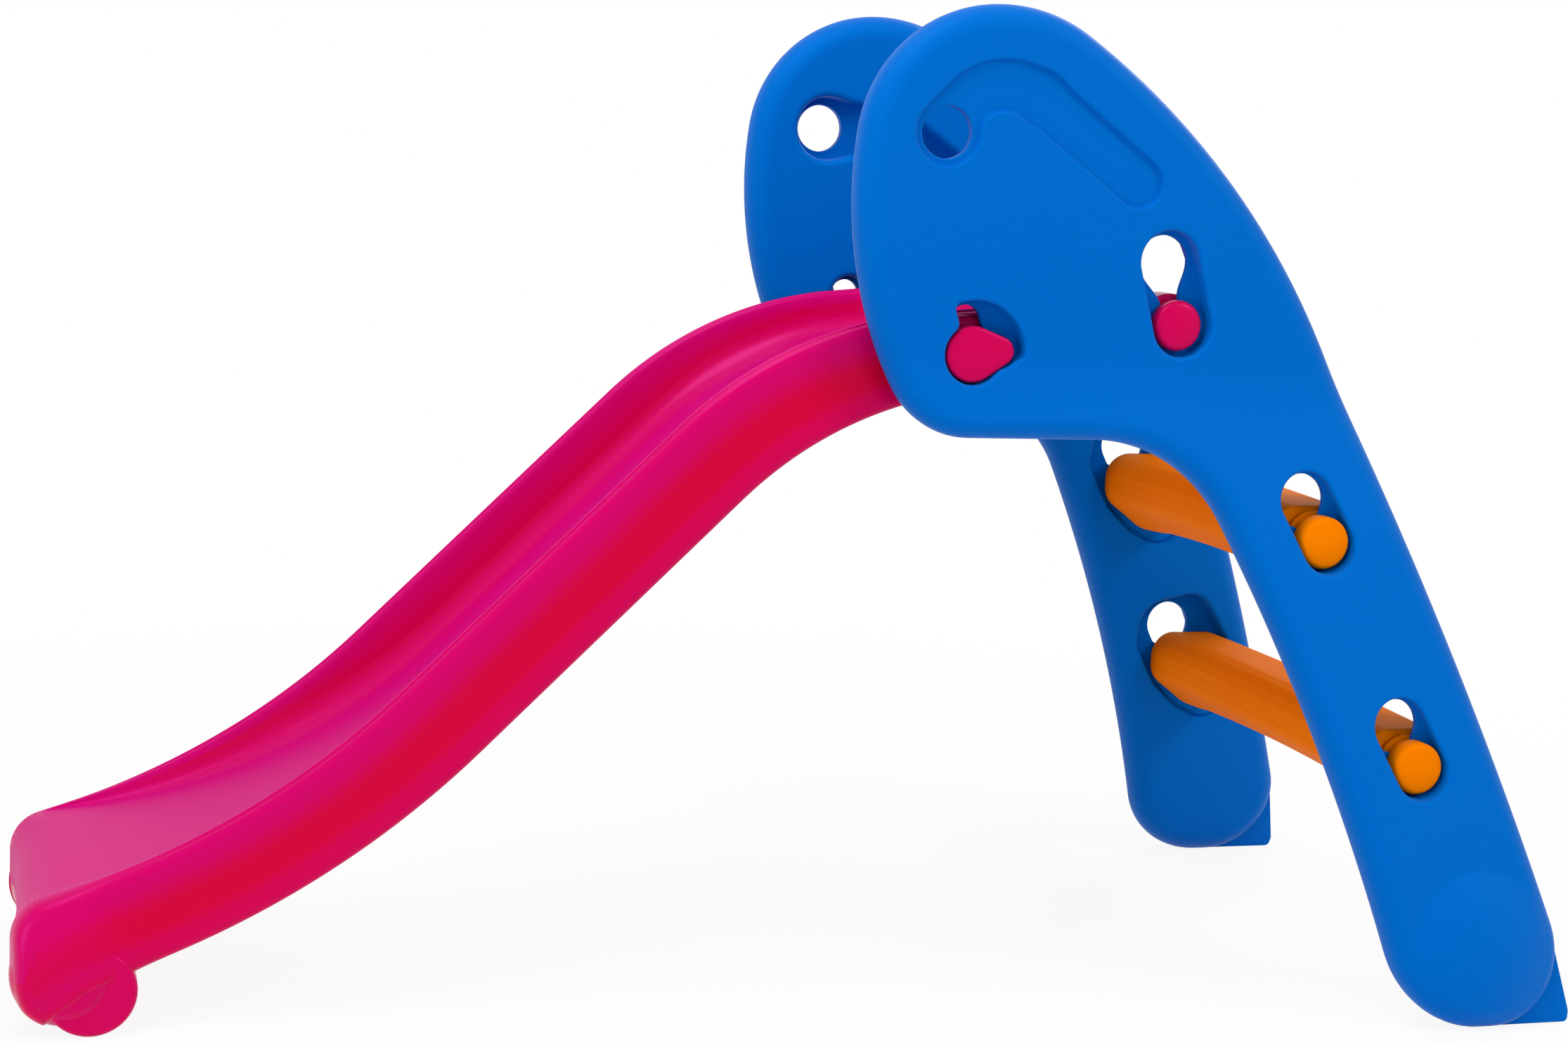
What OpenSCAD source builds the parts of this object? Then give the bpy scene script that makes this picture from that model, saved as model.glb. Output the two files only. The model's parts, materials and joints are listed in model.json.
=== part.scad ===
// Toddler slide with two side panels, a chute that hooks in between them and two keyed steps.
// X runs from the chute's foot to the ladder, Y across the slide, Z up. The ground is Z = 0.
// The side view is laid out from the pivot, the axis of the chute's front knobs.

/* [Overall] */
// Height of the chute's pivot axis above the ground
deck_h = 596; // [500:1:720]
// Height of the hand panels above the pivot axis
guard_h = 304; // [290:1:370]
// Clear width between the side panels at the deck
inner_gap = 312; // [250:1:400]

/* [Side panels] */
// Thickness of a side panel
panel_t = 46; // [40:1:60]
// Wall of every hollow moulding
wall = 3.5; // [2.5:0.1:4.5]
// Pinched web between the two pockets of a keyhole
septum_t = 7; // [5:0.5:9]
// Outward lean of the legs
flare = 13; // [8:0.5:16]
// Drop from the pivot axis to the line where the legs start to lean
bend_drop = 29; // [10:1:60]
// Radius of the crown
crown_r = 143; // [120:1:150]
// Crown centre behind the pivot axis
crown_x = 20; // [0:1:40]
// Radius of the shoulder in front of the crown
shoulder_r = 127.5; // [110:0.5:135]
// Radius of the front edge
front_r = 380; // [320:5:460]
// Radius of the chin under the front edge
chin_r = 76; // [50:1:90]
// Radius of the back edge behind the crown
back_r = 707; // [600:1:850]
// Radius of the leg's back edge
leg_back_r = 3818; // [3000:10:4600]
// Radius of the leg's inner edge
leg_inner_r = 2000; // [1600:10:2400]
// Drop from the pivot axis to the underside of the head
head_drop = 74.5; // [65:0.5:90]
// Radius of the arch between the head and the leg
arch_r = 138; // [110:1:165]
// Arch centre behind the pivot axis
arch_x = 122; // [100:1:150]
// Radius of the foot's inner corner
foot_r = 88; // [70:1:100]
// Radius of the heel
heel_r = 70; // [58:1:76]
// Radius of the dome on the outside of the heel
dome_r = 66; // [50:1:70]
// How far the dome stands out of the leg
dome_h = 13; // [8:0.5:18]
// Reach of the toe plate beyond the heel
toe_reach = 14; // [11:1:20]
// Thickness of the toe plate
toe_t = 10; // [6:1:14]

/* [Hand grip] */
// Radius of the hand hole
grip_r = 23; // [18:0.5:28]
// Radius of the curved groove's centre line
groove_r = 55; // [48:1:66]
// Width of the groove
groove_w = 44; // [36:1:50]
// Length of the groove's straight run
groove_run = 117; // [90:1:130]
// Depth of the groove in the inner face
groove_d = 30; // [20:1:32]
// Depth of the groove in the outer face
relief_d = 5; // [2:0.5:7]

/* [Chute] */
// Clearance between the chute and each side panel
side_gap = 1.5; // [1:0.1:3]
// Slope of the chute's straight run
chute_slope = 44.6; // [40:0.1:50]
// Rise of the deck and of the rails beside it
deck_rise = 6; // [2:0.5:8]
// Width of a side rail
rail_w = 14; // [11:0.5:20]
// Depth of the bed below the rails on the slope, square to the slope
bed_depth = 58; // [40:1:70]
// Depth of the deck below the rails
deck_depth = 42; // [30:1:50]
// Radius of the roll under the exit
roll_r = 39; // [33:1:44]
// How far the roll stands out beyond each side of the chute
roll_out = 14; // [8:1:22]
// Radius of the round boss at each side of the exit
exit_r = 46.5; // [40:0.5:50]
// How far that boss stands out beyond the side of the chute
exit_out = 18; // [10:1:26]
// Distance between the front and rear knobs
knob_pitch = 196.5; // [180:0.5:215]
// Rise of the rear knob, as an angle about the pivot
knob_rise = 8.7; // [6:0.1:11]
// Travel of the rear knob in its slot, as an angle about the pivot
fold_travel = 17.5; // [14:0.5:20]

/* [Steps] */
// Drop from the pivot axis to the upper step's knobs
step_drop = 162; // [150:1:175]
// Height between the two steps
step_pitch = 201; // [185:1:235]
// Lean of the step slots from upright
slot_lean = 28; // [22:1:34]
// Travel of a step in its slots
step_travel = 42; // [38:1:48]

/* [Knobs] */
// Radius of a step knob's head
head_r = 24; // [20:0.5:27]
// Radius of a rear knob's head
rear_head_r = 22.8; // [20:0.1:25]
// Radius of the necks that run in the slots
neck_r = 8.3; // [6:0.1:10]
// Radius of the front knob's neck and round head
pivot_r = 25; // [21:0.5:27]
// Radius of the front knob's tip
tip_r = 13; // [10:0.5:14]
// Distance from the pivot axis to the tip's centre
tip_d = 25.6; // [22:0.1:28]
// Thickness of a knob's head
head_t = 16; // [10:0.5:18]

/* [Fits] */
// Radial clearance of a neck in its slot and of a boss against the web
run_gap = 0.4; // [0.3:0.05:0.6]
// Clearance of a head in its pocket
pocket_gap = 2; // [1.5:0.1:3]

/* [Hidden] */
$fn = 48;
panel_blue = [0, 0.41, 0.80];
chute_pink = [0.80, 0, 0.33];
step_orange = [0.90, 0.45, 0];
// Largest gap between a true arc and the chords that draw it
chord_gap = 0.35;
// Reach that takes a cut past any face
past = 20;
// Depth by which one solid reaches into the next
bite = 1;
// How far a straight side lies inside the round ends it joins
nick = 0.05;

// Normal angles where one arc of the panel's edge hands over to the next
leg_from = 27.2;
back_from = 57.2;
crown_to = 100;
shoulder_to = 173;
arch_to = 27.6;
// The heel dome's centre, in and up from the heel's own
dome_in = 13;
dome_up = 6;
// Tip of the toe plate: its lean, height and two radii
toe_lean = 2;
toe_h = 10;
toe_low_r = 5;
toe_top_r = 10;

function dir(a) = [cos(a), sin(a)];
function tan_dir(a) = [1, tan(a)];
function reach(r, d) = sqrt(r * r - d * d);
function angle_of(v) = (atan2(v[1], v[0]) + 360) % 360;
function last(p) = p[len(p) - 1];
function arc_steps(r, sweep) = max(2, ceil(abs(sweep) / (2 * acos(1 - chord_gap / r))));
function arc(c, r, a0, a1) =
    let (n = arc_steps(r, a1 - a0))
    [for (i = [0 : n]) c + r * dir(a0 + (a1 - a0) * i / n)];
function without_doubles(p) =
    [for (i = [0 : len(p) - 1]) if (norm(p[i] - p[(i + len(p) - 1) % len(p)]) > 0.01) p[i]];
// Point where the line through p at angle a meets the line through q at angle b
function crossing(p, a, q, b) =
    let (u = dir(a), v = dir(b), w = q - p)
    p + u * (w[0] * v[1] - w[1] * v[0]) / (u[0] * v[1] - u[1] * v[0]);
// Point at x on the line through p at angle a
function line_at(p, a, x) = p + (x - p[0]) * tan_dir(a);

// Closed outline from corners [x, z, radius], each rounded by its own arc
function rounded(corners) =
    let (n = len(corners))
    without_doubles([for (i = [0 : n - 1]) each corner_points(
        corners[(i + n - 1) % n], corners[i], corners[(i + 1) % n])]);
function flat2(p) = [p[0], p[1]];
function unit(v) = v / norm(v);
function corner_points(before, here, after) =
    let (r = here[2], p = flat2(here))
    r == 0 ? [p] :
    let (u = unit(flat2(before) - p), v = unit(flat2(after) - p),
         half = acos(u * v) / 2,
         c = p + unit(u + v) * r / sin(half),
         a0 = angle_of(p + u * r / tan(half) - c),
         a1 = angle_of(p + v * r / tan(half) - c))
    arc(c, r, a0, a0 + (a1 - a0 + 540) % 360 - 180);
// Outline drawn w inside a counter-clockwise one, or outside it where w is negative
function inset(p, w) =
    let (n = len(p))
    [for (i = [0 : n - 1])
        let (e = unit(p[i] - p[(i + n - 1) % n]), f = unit(p[(i + 1) % n] - p[i]),
             m = [-e[1], e[0]], k = [-f[1], f[0]])
        p[i] + w * (m + k) / (1 + m * k)];

// Panel edge, from the pivot axis
ground = -deck_h;
crown_c = [crown_x, guard_h - crown_r];
back_c = crown_c + (crown_r - back_r) * dir(back_from);
leg_back_c = back_c + (back_r - leg_back_r) * dir(leg_from);
heel_z = ground + heel_r;
heel_c = [leg_back_c[0] + reach(leg_back_r - heel_r, heel_z - leg_back_c[1]), heel_z];
shoulder_c = crown_c + (crown_r - shoulder_r) * dir(crown_to);
front_c = shoulder_c + (shoulder_r - front_r) * dir(shoulder_to);
chin_z = chin_r - head_drop;
chin_c = [front_c[0] - reach(front_r - chin_r, chin_z - front_c[1]), chin_z];
arch_c = [arch_x, -head_drop - arch_r];
leg_inner_c = arch_c + (arch_r - leg_inner_r) * dir(arch_to);
foot_z = ground + foot_r;
foot_c = [leg_inner_c[0] + reach(leg_inner_r + foot_r, foot_z - leg_inner_c[1]), foot_z];
heel_to = angle_of(heel_c - leg_back_c);
chin_from = angle_of(chin_c - front_c);
foot_from = angle_of(leg_inner_c - foot_c);
inner_to = angle_of(foot_c - leg_inner_c);
panel_edge = without_doubles(concat(
    arc(heel_c, heel_r, -90, heel_to > 180 ? heel_to - 360 : heel_to),
    arc(leg_back_c, leg_back_r, heel_to > 180 ? heel_to - 360 : heel_to, leg_from),
    arc(back_c, back_r, leg_from, back_from),
    arc(crown_c, crown_r, back_from, crown_to),
    arc(shoulder_c, shoulder_r, crown_to, shoulder_to),
    arc(front_c, front_r, shoulder_to, chin_from),
    arc(chin_c, chin_r, chin_from, 270),
    arc(arch_c, arch_r, 90, arch_to),
    arc(leg_inner_c, leg_inner_r, arch_to, inner_to > 180 ? inner_to - 360 : inner_to),
    arc(foot_c, foot_r, foot_from, 270)));
toe_tip = heel_c[0] + heel_r + toe_reach;
heel_top = heel_c + heel_r * dir(heel_to);
dome_c = heel_c + [-dome_in, dome_up];
toe_edge = rounded([[heel_c[0], ground, 0], [toe_tip - toe_lean, ground, toe_low_r],
    [toe_tip, ground + toe_h, toe_top_r],
    [heel_top[0], heel_top[1], 0], [heel_c[0], heel_c[1], 0]]);

// Panel section across the slide, from the pivot axis
mid_y = inner_gap / 2 + panel_t / 2;
side_y = inner_gap / 2 - side_gap;
bend_z = -bend_drop;
function leg_y(z) = mid_y + max(0, tan(flare) * (bend_z - z));
function slab(near_face, far_face) =
    let (top = guard_h + past, low = ground - past, k = tan(flare / 2), c = cos(flare))
    [[mid_y + near_face, top], [mid_y + near_face, bend_z + near_face * k],
     [leg_y(low) + near_face / c, low], [leg_y(low) + far_face / c, low],
     [mid_y + far_face, bend_z + far_face * k], [mid_y + far_face, top]];
half_t = panel_t / 2;
half_web = septum_t / 2;

// Hand grip, from the pivot axis: the hole's place before it and below the crown, the angles
// at which the groove's curve starts and ends, and how much it widens round the hole
grip_x = 34.8;
grip_drop = 112.4;
groove_from = 166.7;
groove_to = 54;
grip_land = 4;
grip_c = [-grip_x, guard_h - grip_drop];
groove_c = grip_c - groove_r * dir(groove_from);
run_from = groove_c + groove_r * dir(groove_to);
run_to = run_from + groove_run * dir(groove_to - 90);

// Knobs and slots, from the pivot axis
rest_turn = 7;
entry_turn = 98;
// How much longer and wider the front keyhole is than the knob's tip
entry_reach = 3;
entry_land = 1.5;
// Quarter-round window over the front knob: its reach past the tip and its two angles
window_reach = 9;
window_from = -2;
window_to = 104;
// How far the bosses behind the rear and front knobs and the steps' collars stand out round them
boss_land = 5;
pivot_land = 7;
collar_land = 2;
// Extra room of a rear knob's head in its pocket
rear_play = 1;
rear_c = knob_pitch * dir(knob_rise);
boss_r = rear_head_r + boss_land;
pivot_boss_r = pivot_r + pivot_land;
slot_dir = dir(90 + slot_lean);
function edge_x(c, r, z) = c[0] + reach(r, z - c[1]);
function step_c(i) =
    let (z = -step_drop - i * step_pitch)
    [(edge_x(leg_back_c, leg_back_r, z) + edge_x(leg_inner_c, leg_inner_r, z)) / 2, z];
// The web of a step's keyhole stands square to the knob, half-way up the slot
function web_y(z) = leg_y(z + step_travel * slot_dir[1] / 2);
tread_end_gap = 6;
tread = [[-40, 30, 26], [-40, -18, 30], [4, -56, 40], [44, -58, 16], [34, 30, 12]];
lift = step_travel * slot_dir;
function lifted(c) = [c[0] + lift[0], c[1] + lift[1], c[2]];
// Outline that the end of a tread sweeps as the step slides up
tread_sweep = rounded([lifted(tread[0]), lifted(tread[1]), tread[1], tread[2], tread[3], tread[4],
    lifted(tread[4])]);

// Chute side view, from the pivot axis
rim_top = [-157, 19];
rim_low_h = 176;
under_top = [-102, -50];
under_low_h = 121;
rim_low_r = 680;
rim_top_r = 369;
under_low_r = 797;
under_top_r = 350;
exit_rise = 18;
under_rise = 21;
bed_exit_rise = 8;
bed_low_r = 600;
bed_top_r = 330;
// Roll's place before the foot of the rails, and the exit boss before and above the roll
roll_lead = 141;
exit_lead = 21;
exit_lift = 5;
// The lip: how far it lies inside the exit boss, where the bed starts behind it, and its radius
lip_in = 2;
bed_lead = 18;
lip_r = 34;
// Radius of the chute's rear end, as a part of its height
rear_part = 0.46;
function down_slope(p, h) = [p[0] - (p[1] - ground - h) / tan(chute_slope), ground + h];
rim_low = down_slope(rim_top, rim_low_h);
under_low = down_slope(under_top, under_low_h);
roll_c = [rim_low[0] - roll_lead, ground + roll_r];
exit_c = [roll_c[0] - exit_lead, ground + exit_r + exit_lift];
rear_x = rear_c[0] + boss_r;
lip_x = exit_c[0] - exit_r + lip_in;
lip_top = line_at(rim_low, exit_rise, lip_x);
rim_end = line_at(rim_top, deck_rise, rear_x);
under_end = line_at(under_top, deck_rise, rear_x);
rear_round = (rim_end[1] - under_end[1]) * rear_part;
under_start = line_at(under_low, under_rise, roll_c[0]);
function corner(p, r) = [p[0], p[1], r];
chute_edge = rounded([[lip_x, exit_c[1], 0], corner(under_start, 0), corner(under_low, under_low_r),
    corner(under_top, under_top_r), corner(under_end, rear_round), corner(rim_end, rear_round),
    corner(rim_top, rim_top_r), corner(rim_low, rim_low_r), corner(lip_top, lip_r)]);
bed_start = line_at(rim_low, exit_rise, lip_x + bed_lead);
bed_slope_p = rim_low + bed_depth * dir(chute_slope - 90);
bed_deck_p = rim_top - [0, deck_depth];
bed_low = crossing(bed_start, bed_exit_rise, bed_slope_p, chute_slope);
bed_top = crossing(bed_deck_p, deck_rise, bed_slope_p, chute_slope);
bed_end = line_at(bed_top, deck_rise, rear_x + past);
bed_edge = rounded([corner(line_at(bed_start, bed_exit_rise, lip_x - past), 0), corner(bed_low, bed_low_r),
    corner(bed_top, bed_top_r), corner(bed_end, 0), [bed_end[0], guard_h, 0], [lip_x - past, guard_h, 0]]);

// The whole slide is centred along X over the ground it covers
pivot_x = -(exit_c[0] - exit_r + toe_tip) / 2;

// Outline in the side view, extruded across the slide from y0 to y1
module across(y0, y1) {
    translate([0, y1, 0]) rotate([90, 0, 0]) linear_extrude(y1 - y0) children();
}

// Section across the slide, extruded along it
module along() {
    translate([-knob_pitch, 0, 0]) rotate([90, 0, 90])
        linear_extrude(toe_tip + knob_pitch + past) children();
}

module from_pivot() {
    translate([pivot_x, 0, deck_h]) children();
}

// The part of a teardrop that stands out beyond a circle about the pivot: a smaller round end
// with straight flanks
module beak(turn, grow, reach_d, end_r) {
    r = pivot_r + grow;
    t = end_r + grow;
    a = acos((r - t) / reach_d);
    tip = [reach_d, 0];
    rotate(turn) {
        translate(tip) circle(t);
        polygon([(r - nick) * dir(-a), tip + (t - nick) * dir(-a),
            tip + (t - nick) * dir(a), (r - nick) * dir(a)]);
    }
}

module arc_band(c, r, half_w, a0, a1) {
    translate(c) intersection() {
        difference() {
            circle(r + half_w);
            circle(r - half_w);
        }
        polygon([[0, 0], 3 * r * dir(a0), 3 * r * dir((a0 + a1) / 2), 3 * r * dir(a1)]);
    }
}

// Curved slot of a half width about the pivot, with round ends
module pivot_slot(half_w) {
    arc_band([0, 0], knob_pitch, half_w - nick, knob_rise, knob_rise + fold_travel);
    for (a = [0, fold_travel]) translate(knob_pitch * dir(knob_rise + a)) circle(half_w);
}

// Straight slot of a half width from a step knob's seat, with round ends
module step_slot(half_w) {
    circle(half_w);
    rotate(90 + slot_lean) translate([0, nick - half_w]) square([step_travel, 2 * (half_w - nick)]);
    translate(lift) circle(half_w);
}

// The curved hand groove, grown by g
module groove(g) {
    w = groove_w / 2 + g;
    translate(grip_c) circle(w + grip_land);
    polygon(without_doubles(concat(
        arc(run_to, w, groove_to - 180, groove_to),
        arc(groove_c, groove_r + w, groove_to, groove_from),
        arc(groove_c, groove_r - w, groove_from, groove_to))));
}

// Pockets of the front knob
module pivot_outer(g) {
    circle(pivot_r + pocket_gap + g);
    beak(rest_turn, pocket_gap + g, tip_d, tip_r);
    polygon(inset(concat([[0, 0]],
        arc([0, 0], tip_d + tip_r + window_reach, window_from, window_to)), -g));
}
module pivot_inner(g) {
    circle(pivot_boss_r + pocket_gap + g);
    beak(entry_turn, pocket_gap + g, tip_d + entry_reach, tip_r + entry_land);
}
module pivot_hole() {
    circle(pivot_r + run_gap);
    beak(entry_turn, -run_gap / 2, tip_d + entry_reach, tip_r + entry_land);
}

// Pockets and keyhole of the rear knob
module rear_outer(g) { pivot_slot(rear_head_r + pocket_gap + rear_play + g); }
module rear_inner(g) { pivot_slot(boss_r + pocket_gap + g); }
module rear_hole() {
    pivot_slot(neck_r + run_gap);
    translate(knob_pitch * dir(knob_rise + fold_travel)) circle(rear_head_r + pocket_gap);
}

// Pockets and keyhole of a step knob
module step_outer(g) { step_slot(head_r + pocket_gap + g); }
module step_inner(g) { polygon(inset(tread_sweep, -pocket_gap - g)); }
module step_hole() {
    step_slot(neck_r + run_gap);
    translate(lift) circle(head_r + pocket_gap / 2);
}

// Space that the walls of a pocket pair keep out of the panel's hollow
module pocket_wall(y) {
    across(y - half_web, y + panel_t) children(0);
    across(y - panel_t, y + half_web) children(1);
}

// Both pockets of a pair and the hole through the web between them
module pocket_cut(y) {
    across(y + half_web, y + panel_t + past) children(0);
    across(y - panel_t - past, y - half_web) children(1);
    across(y - septum_t, y + septum_t) children(2);
}

module panel_block(w) {
    intersection() {
        across(0, leg_y(ground) + panel_t) polygon(inset(panel_edge, w));
        along() polygon(slab(w - half_t, half_t - w));
    }
}

// Shallow round dome on the outside of the heel, shrunk by w
module heel_dome(w) {
    ball_r = (dome_r * dome_r + dome_h * dome_h) / (2 * dome_h);
    face = leg_y(dome_c[1]) + half_t / cos(flare);
    intersection() {
        translate([dome_c[0], face, dome_c[1]]) rotate([flare, 0, 0])
            translate([0, dome_h - ball_r, 0]) sphere(ball_r - w, $fn = 96);
        along() polygon(slab(half_t - 2 * wall, half_t + dome_h + past));
        across(0, face + panel_t) translate(dome_c) circle(dome_r + bite - w);
    }
}

module panel_hollow() {
    difference() {
        union() {
            panel_block(wall);
            heel_dome(wall);
        }
        across(mid_y - panel_t, mid_y + panel_t) groove(wall);
        pocket_wall(mid_y) {
            pivot_outer(wall);
            pivot_inner(wall);
        }
        pocket_wall(mid_y) {
            rear_outer(wall);
            rear_inner(wall);
        }
        for (i = [0, 1]) translate([step_c(i)[0], 0, step_c(i)[1]])
            pocket_wall(web_y(step_c(i)[1])) {
                step_outer(wall);
                step_inner(wall);
            }
    }
}

module panel_cuts() {
    across(mid_y + half_t - relief_d, mid_y + panel_t) groove(0);
    across(mid_y - panel_t, mid_y - half_t + groove_d) groove(0);
    across(mid_y - panel_t, mid_y + panel_t) translate(grip_c) circle(grip_r);
    pocket_cut(mid_y) {
        pivot_outer(0);
        pivot_inner(0);
        pivot_hole();
    }
    pocket_cut(mid_y) {
        rear_outer(0);
        rear_inner(0);
        rear_hole();
    }
    for (i = [0, 1]) translate([step_c(i)[0], 0, step_c(i)[1]])
        pocket_cut(web_y(step_c(i)[1])) {
            step_outer(0);
            step_inner(0);
            step_hole();
        }
}

module side_panel() {
    color(panel_blue) from_pivot() {
        difference() {
            union() {
                panel_block(0);
                heel_dome(0);
                intersection() {
                    across(0, leg_y(ground) + panel_t) polygon(toe_edge);
                    along() polygon(slab(-toe_t / 2, toe_t / 2));
                }
            }
            panel_hollow();
            panel_cuts();
        }
    }
}

module far_side_panel() { side_panel(); }
module near_side_panel() { mirror([0, 1, 0]) side_panel(); }

// Both knobs of a pair on the two ends of a piece
module both_sides() {
    children();
    mirror([0, 1, 0]) children();
}

module chute_knobs() {
    web_in = mid_y - half_web - run_gap;
    web_out = mid_y + half_web + run_gap;
    across(side_y - wall, web_in) circle(pivot_boss_r);
    across(side_y - wall, web_out + head_t) circle(pivot_r);
    across(web_out, web_out + head_t) beak(rest_turn, 0, tip_d, tip_r);
    translate([rear_c[0], 0, rear_c[1]]) {
        across(side_y - wall, web_in) circle(boss_r);
        across(side_y - wall, web_out + bite) circle(neck_r);
        across(web_out, web_out + head_t) circle(rear_head_r);
    }
}

module chute() {
    roll_half = side_y + roll_out;
    exit_half = side_y + exit_out;
    color(chute_pink) from_pivot() {
        difference() {
            union() {
                across(-side_y, side_y) polygon(chute_edge);
                across(-roll_half, roll_half) translate(roll_c) circle(roll_r);
                both_sides() across(side_y - wall, exit_half) translate(exit_c) circle(exit_r);
            }
            across(rail_w - side_y, side_y - rail_w) polygon(bed_edge);
            difference() {
                across(wall - side_y, side_y - wall) polygon(inset(chute_edge, wall));
                across(rail_w - wall - side_y, side_y - rail_w + wall)
                    polygon(inset(bed_edge, -wall));
            }
            across(wall - roll_half, roll_half - wall) translate(roll_c) circle(roll_r - wall);
            both_sides() across(side_y - 2 * wall, exit_half - wall)
                translate(exit_c) circle(exit_r - wall);
        }
        both_sides() chute_knobs();
    }
}

module step(i) {
    c = step_c(i);
    web = web_y(c[1]);
    end_y = web - half_web - run_gap - tread_end_gap;
    web_out = web + half_web + run_gap;
    color(step_orange) from_pivot() translate([c[0], 0, c[1]]) {
        difference() {
            across(-end_y, end_y) polygon(rounded(tread));
            across(wall - end_y, end_y - wall) polygon(inset(rounded(tread), wall));
        }
        both_sides() {
            across(end_y - bite, end_y + tread_end_gap) circle(head_r + collar_land);
            across(end_y, web_out + bite) circle(neck_r);
            across(web_out, web_out + head_t) circle(head_r);
        }
    }
}

module upper_step() { step(0); }
module lower_step() { step(1); }

near_side_panel();
far_side_panel();
chute();
upper_step();
lower_step();
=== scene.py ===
"""Looks of a toddler slide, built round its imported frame.

Side-view sizes are in millimetres from the pivot, the axis of the chute's front knobs: x runs
towards the ladder and the second number is the height. Finished meshes are in metres, in the frame.
"""
import json
import logging
import math
from dataclasses import dataclass, field
from enum import Enum
from typing import Any, Callable, Sequence

import bmesh
import bpy
from mathutils import Matrix, Vector

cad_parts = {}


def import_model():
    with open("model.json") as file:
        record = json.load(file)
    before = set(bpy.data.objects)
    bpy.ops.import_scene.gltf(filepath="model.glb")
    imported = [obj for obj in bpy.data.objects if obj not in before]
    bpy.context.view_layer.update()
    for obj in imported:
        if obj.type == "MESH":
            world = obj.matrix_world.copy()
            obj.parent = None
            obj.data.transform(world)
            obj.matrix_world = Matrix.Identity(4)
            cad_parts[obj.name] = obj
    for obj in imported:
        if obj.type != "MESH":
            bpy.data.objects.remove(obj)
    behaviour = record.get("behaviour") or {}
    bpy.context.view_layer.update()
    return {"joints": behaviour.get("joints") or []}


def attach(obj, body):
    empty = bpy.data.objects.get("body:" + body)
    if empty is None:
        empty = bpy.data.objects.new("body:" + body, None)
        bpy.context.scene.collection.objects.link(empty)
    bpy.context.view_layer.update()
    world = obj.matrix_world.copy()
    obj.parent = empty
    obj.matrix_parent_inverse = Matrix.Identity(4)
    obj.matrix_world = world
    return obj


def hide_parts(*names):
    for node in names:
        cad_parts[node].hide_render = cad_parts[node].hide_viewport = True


LOG = logging.getLogger("slide")
MM = 0.001
Colour = tuple[float, float, float, float]
Distance = Callable[[Vector], float]
Ring = list[bmesh.types.BMVert]

# Sizes shared by the sub-assemblies, the same as the part's own source
DECK_H = 596.0
INNER_GAP = 312.0
PANEL_T = 46.0
SEPTUM_T = 7.0
FLARE = math.radians(13)
BEND_DROP = 29.0
GUARD_H = 304.0
SIDE_GAP = 1.5
KNOB_PITCH = 196.5
KNOB_RISE = 8.7
FOLD_TRAVEL = 17.5
SLOT_LEAN = 28.0
STEP_DROP = 162.0
STEP_PITCH = 201.0
STEP_TRAVEL = 42.0
HEAD_R = 24.0
REAR_HEAD_R = 22.8
NECK_R = 8.3
PIVOT_R = 25.0
TIP_R = 13.0
TIP_D = 25.6
HEAD_T = 16.0
RUN_GAP = 0.4
POCKET_GAP = 2.0
REST_TURN = 7.0
ENTRY_TURN = 98.0
REAR_BOSS_R = REAR_HEAD_R + 5
PIVOT_BOSS_R = PIVOT_R + 7
MID_Y = (INNER_GAP + PANEL_T) / 2
HALF_T = PANEL_T / 2
HALF_WEB = SEPTUM_T / 2
SIDE_Y = INNER_GAP / 2 - SIDE_GAP
GROUND = -DECK_H

# Sizes of the looks alone
BEND_EASE = 26.0  # half the height over which a panel bends
BOSS_ROOT = 6.0  # how deep a knob's boss stands in the chute
DOUBLES = 0.004  # points nearer than this are one
PACE = 1.5  # how far apart the points of a traced outline are first found
NUDGE = 0.05  # the step that finds which way is out of a shape
HAIR = 0.001  # a distance too small to see
KEYHOLE_POINTS = 120
BAND_POINTS = 260


class Side(Enum):
    """Which side of the slide a piece is on, as the sign of its Y."""

    NEAR = -1
    FAR = 1

    @property
    def word(self) -> str:
        """The side as it stands in the names of pieces."""
        return self.name.lower()


# ---------------------------------------------------------------- outlines in the side view


def polar(radius: float, degrees: float) -> Vector:
    """A side-view vector of a length at an angle above +X."""
    turn = math.radians(degrees)
    return Vector((radius * math.cos(turn), radius * math.sin(turn)))


def bearing(run: Vector) -> float:
    """The angle of a side-view vector above +X, from 0 to 360."""
    return math.degrees(math.atan2(run.y, run.x)) % 360


def smooth(value: float) -> float:
    """0 below 0, 1 above 1 and an easy curve between them."""
    t = min(1.0, max(0.0, value))
    return t * t * (3 - 2 * t)


def quarter(steps: int) -> list[tuple[float, float]]:
    """The cosine and sine of evenly spaced angles from 0 to 90 degrees."""
    turns = [math.radians(90 * i / steps) for i in range(steps + 1)]
    return [(math.cos(turn), math.sin(turn)) for turn in turns]


def at_y(outline: Sequence[Vector], y: float) -> list[Vector]:
    """An outline's points in space, all at one Y."""
    return [Vector((p.x, y, p.y)) for p in outline]


def arc(centre: Vector, radius: float, start: float, end: float, pitch: float = 2.0) -> list[Vector]:
    """Points along an arc.

    Args:
        centre: The arc's centre.
        radius: Its radius.
        start: The angle that it starts at.
        end: The angle that it ends at, below start for a clockwise arc.
        pitch: The most that two points lie apart.

    Returns:
        The points, both ends among them.
    """
    count = max(3, math.ceil(math.radians(abs(end - start)) * radius / pitch))
    return [centre + polar(radius, start + (end - start) * i / count) for i in range(count + 1)]


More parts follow.
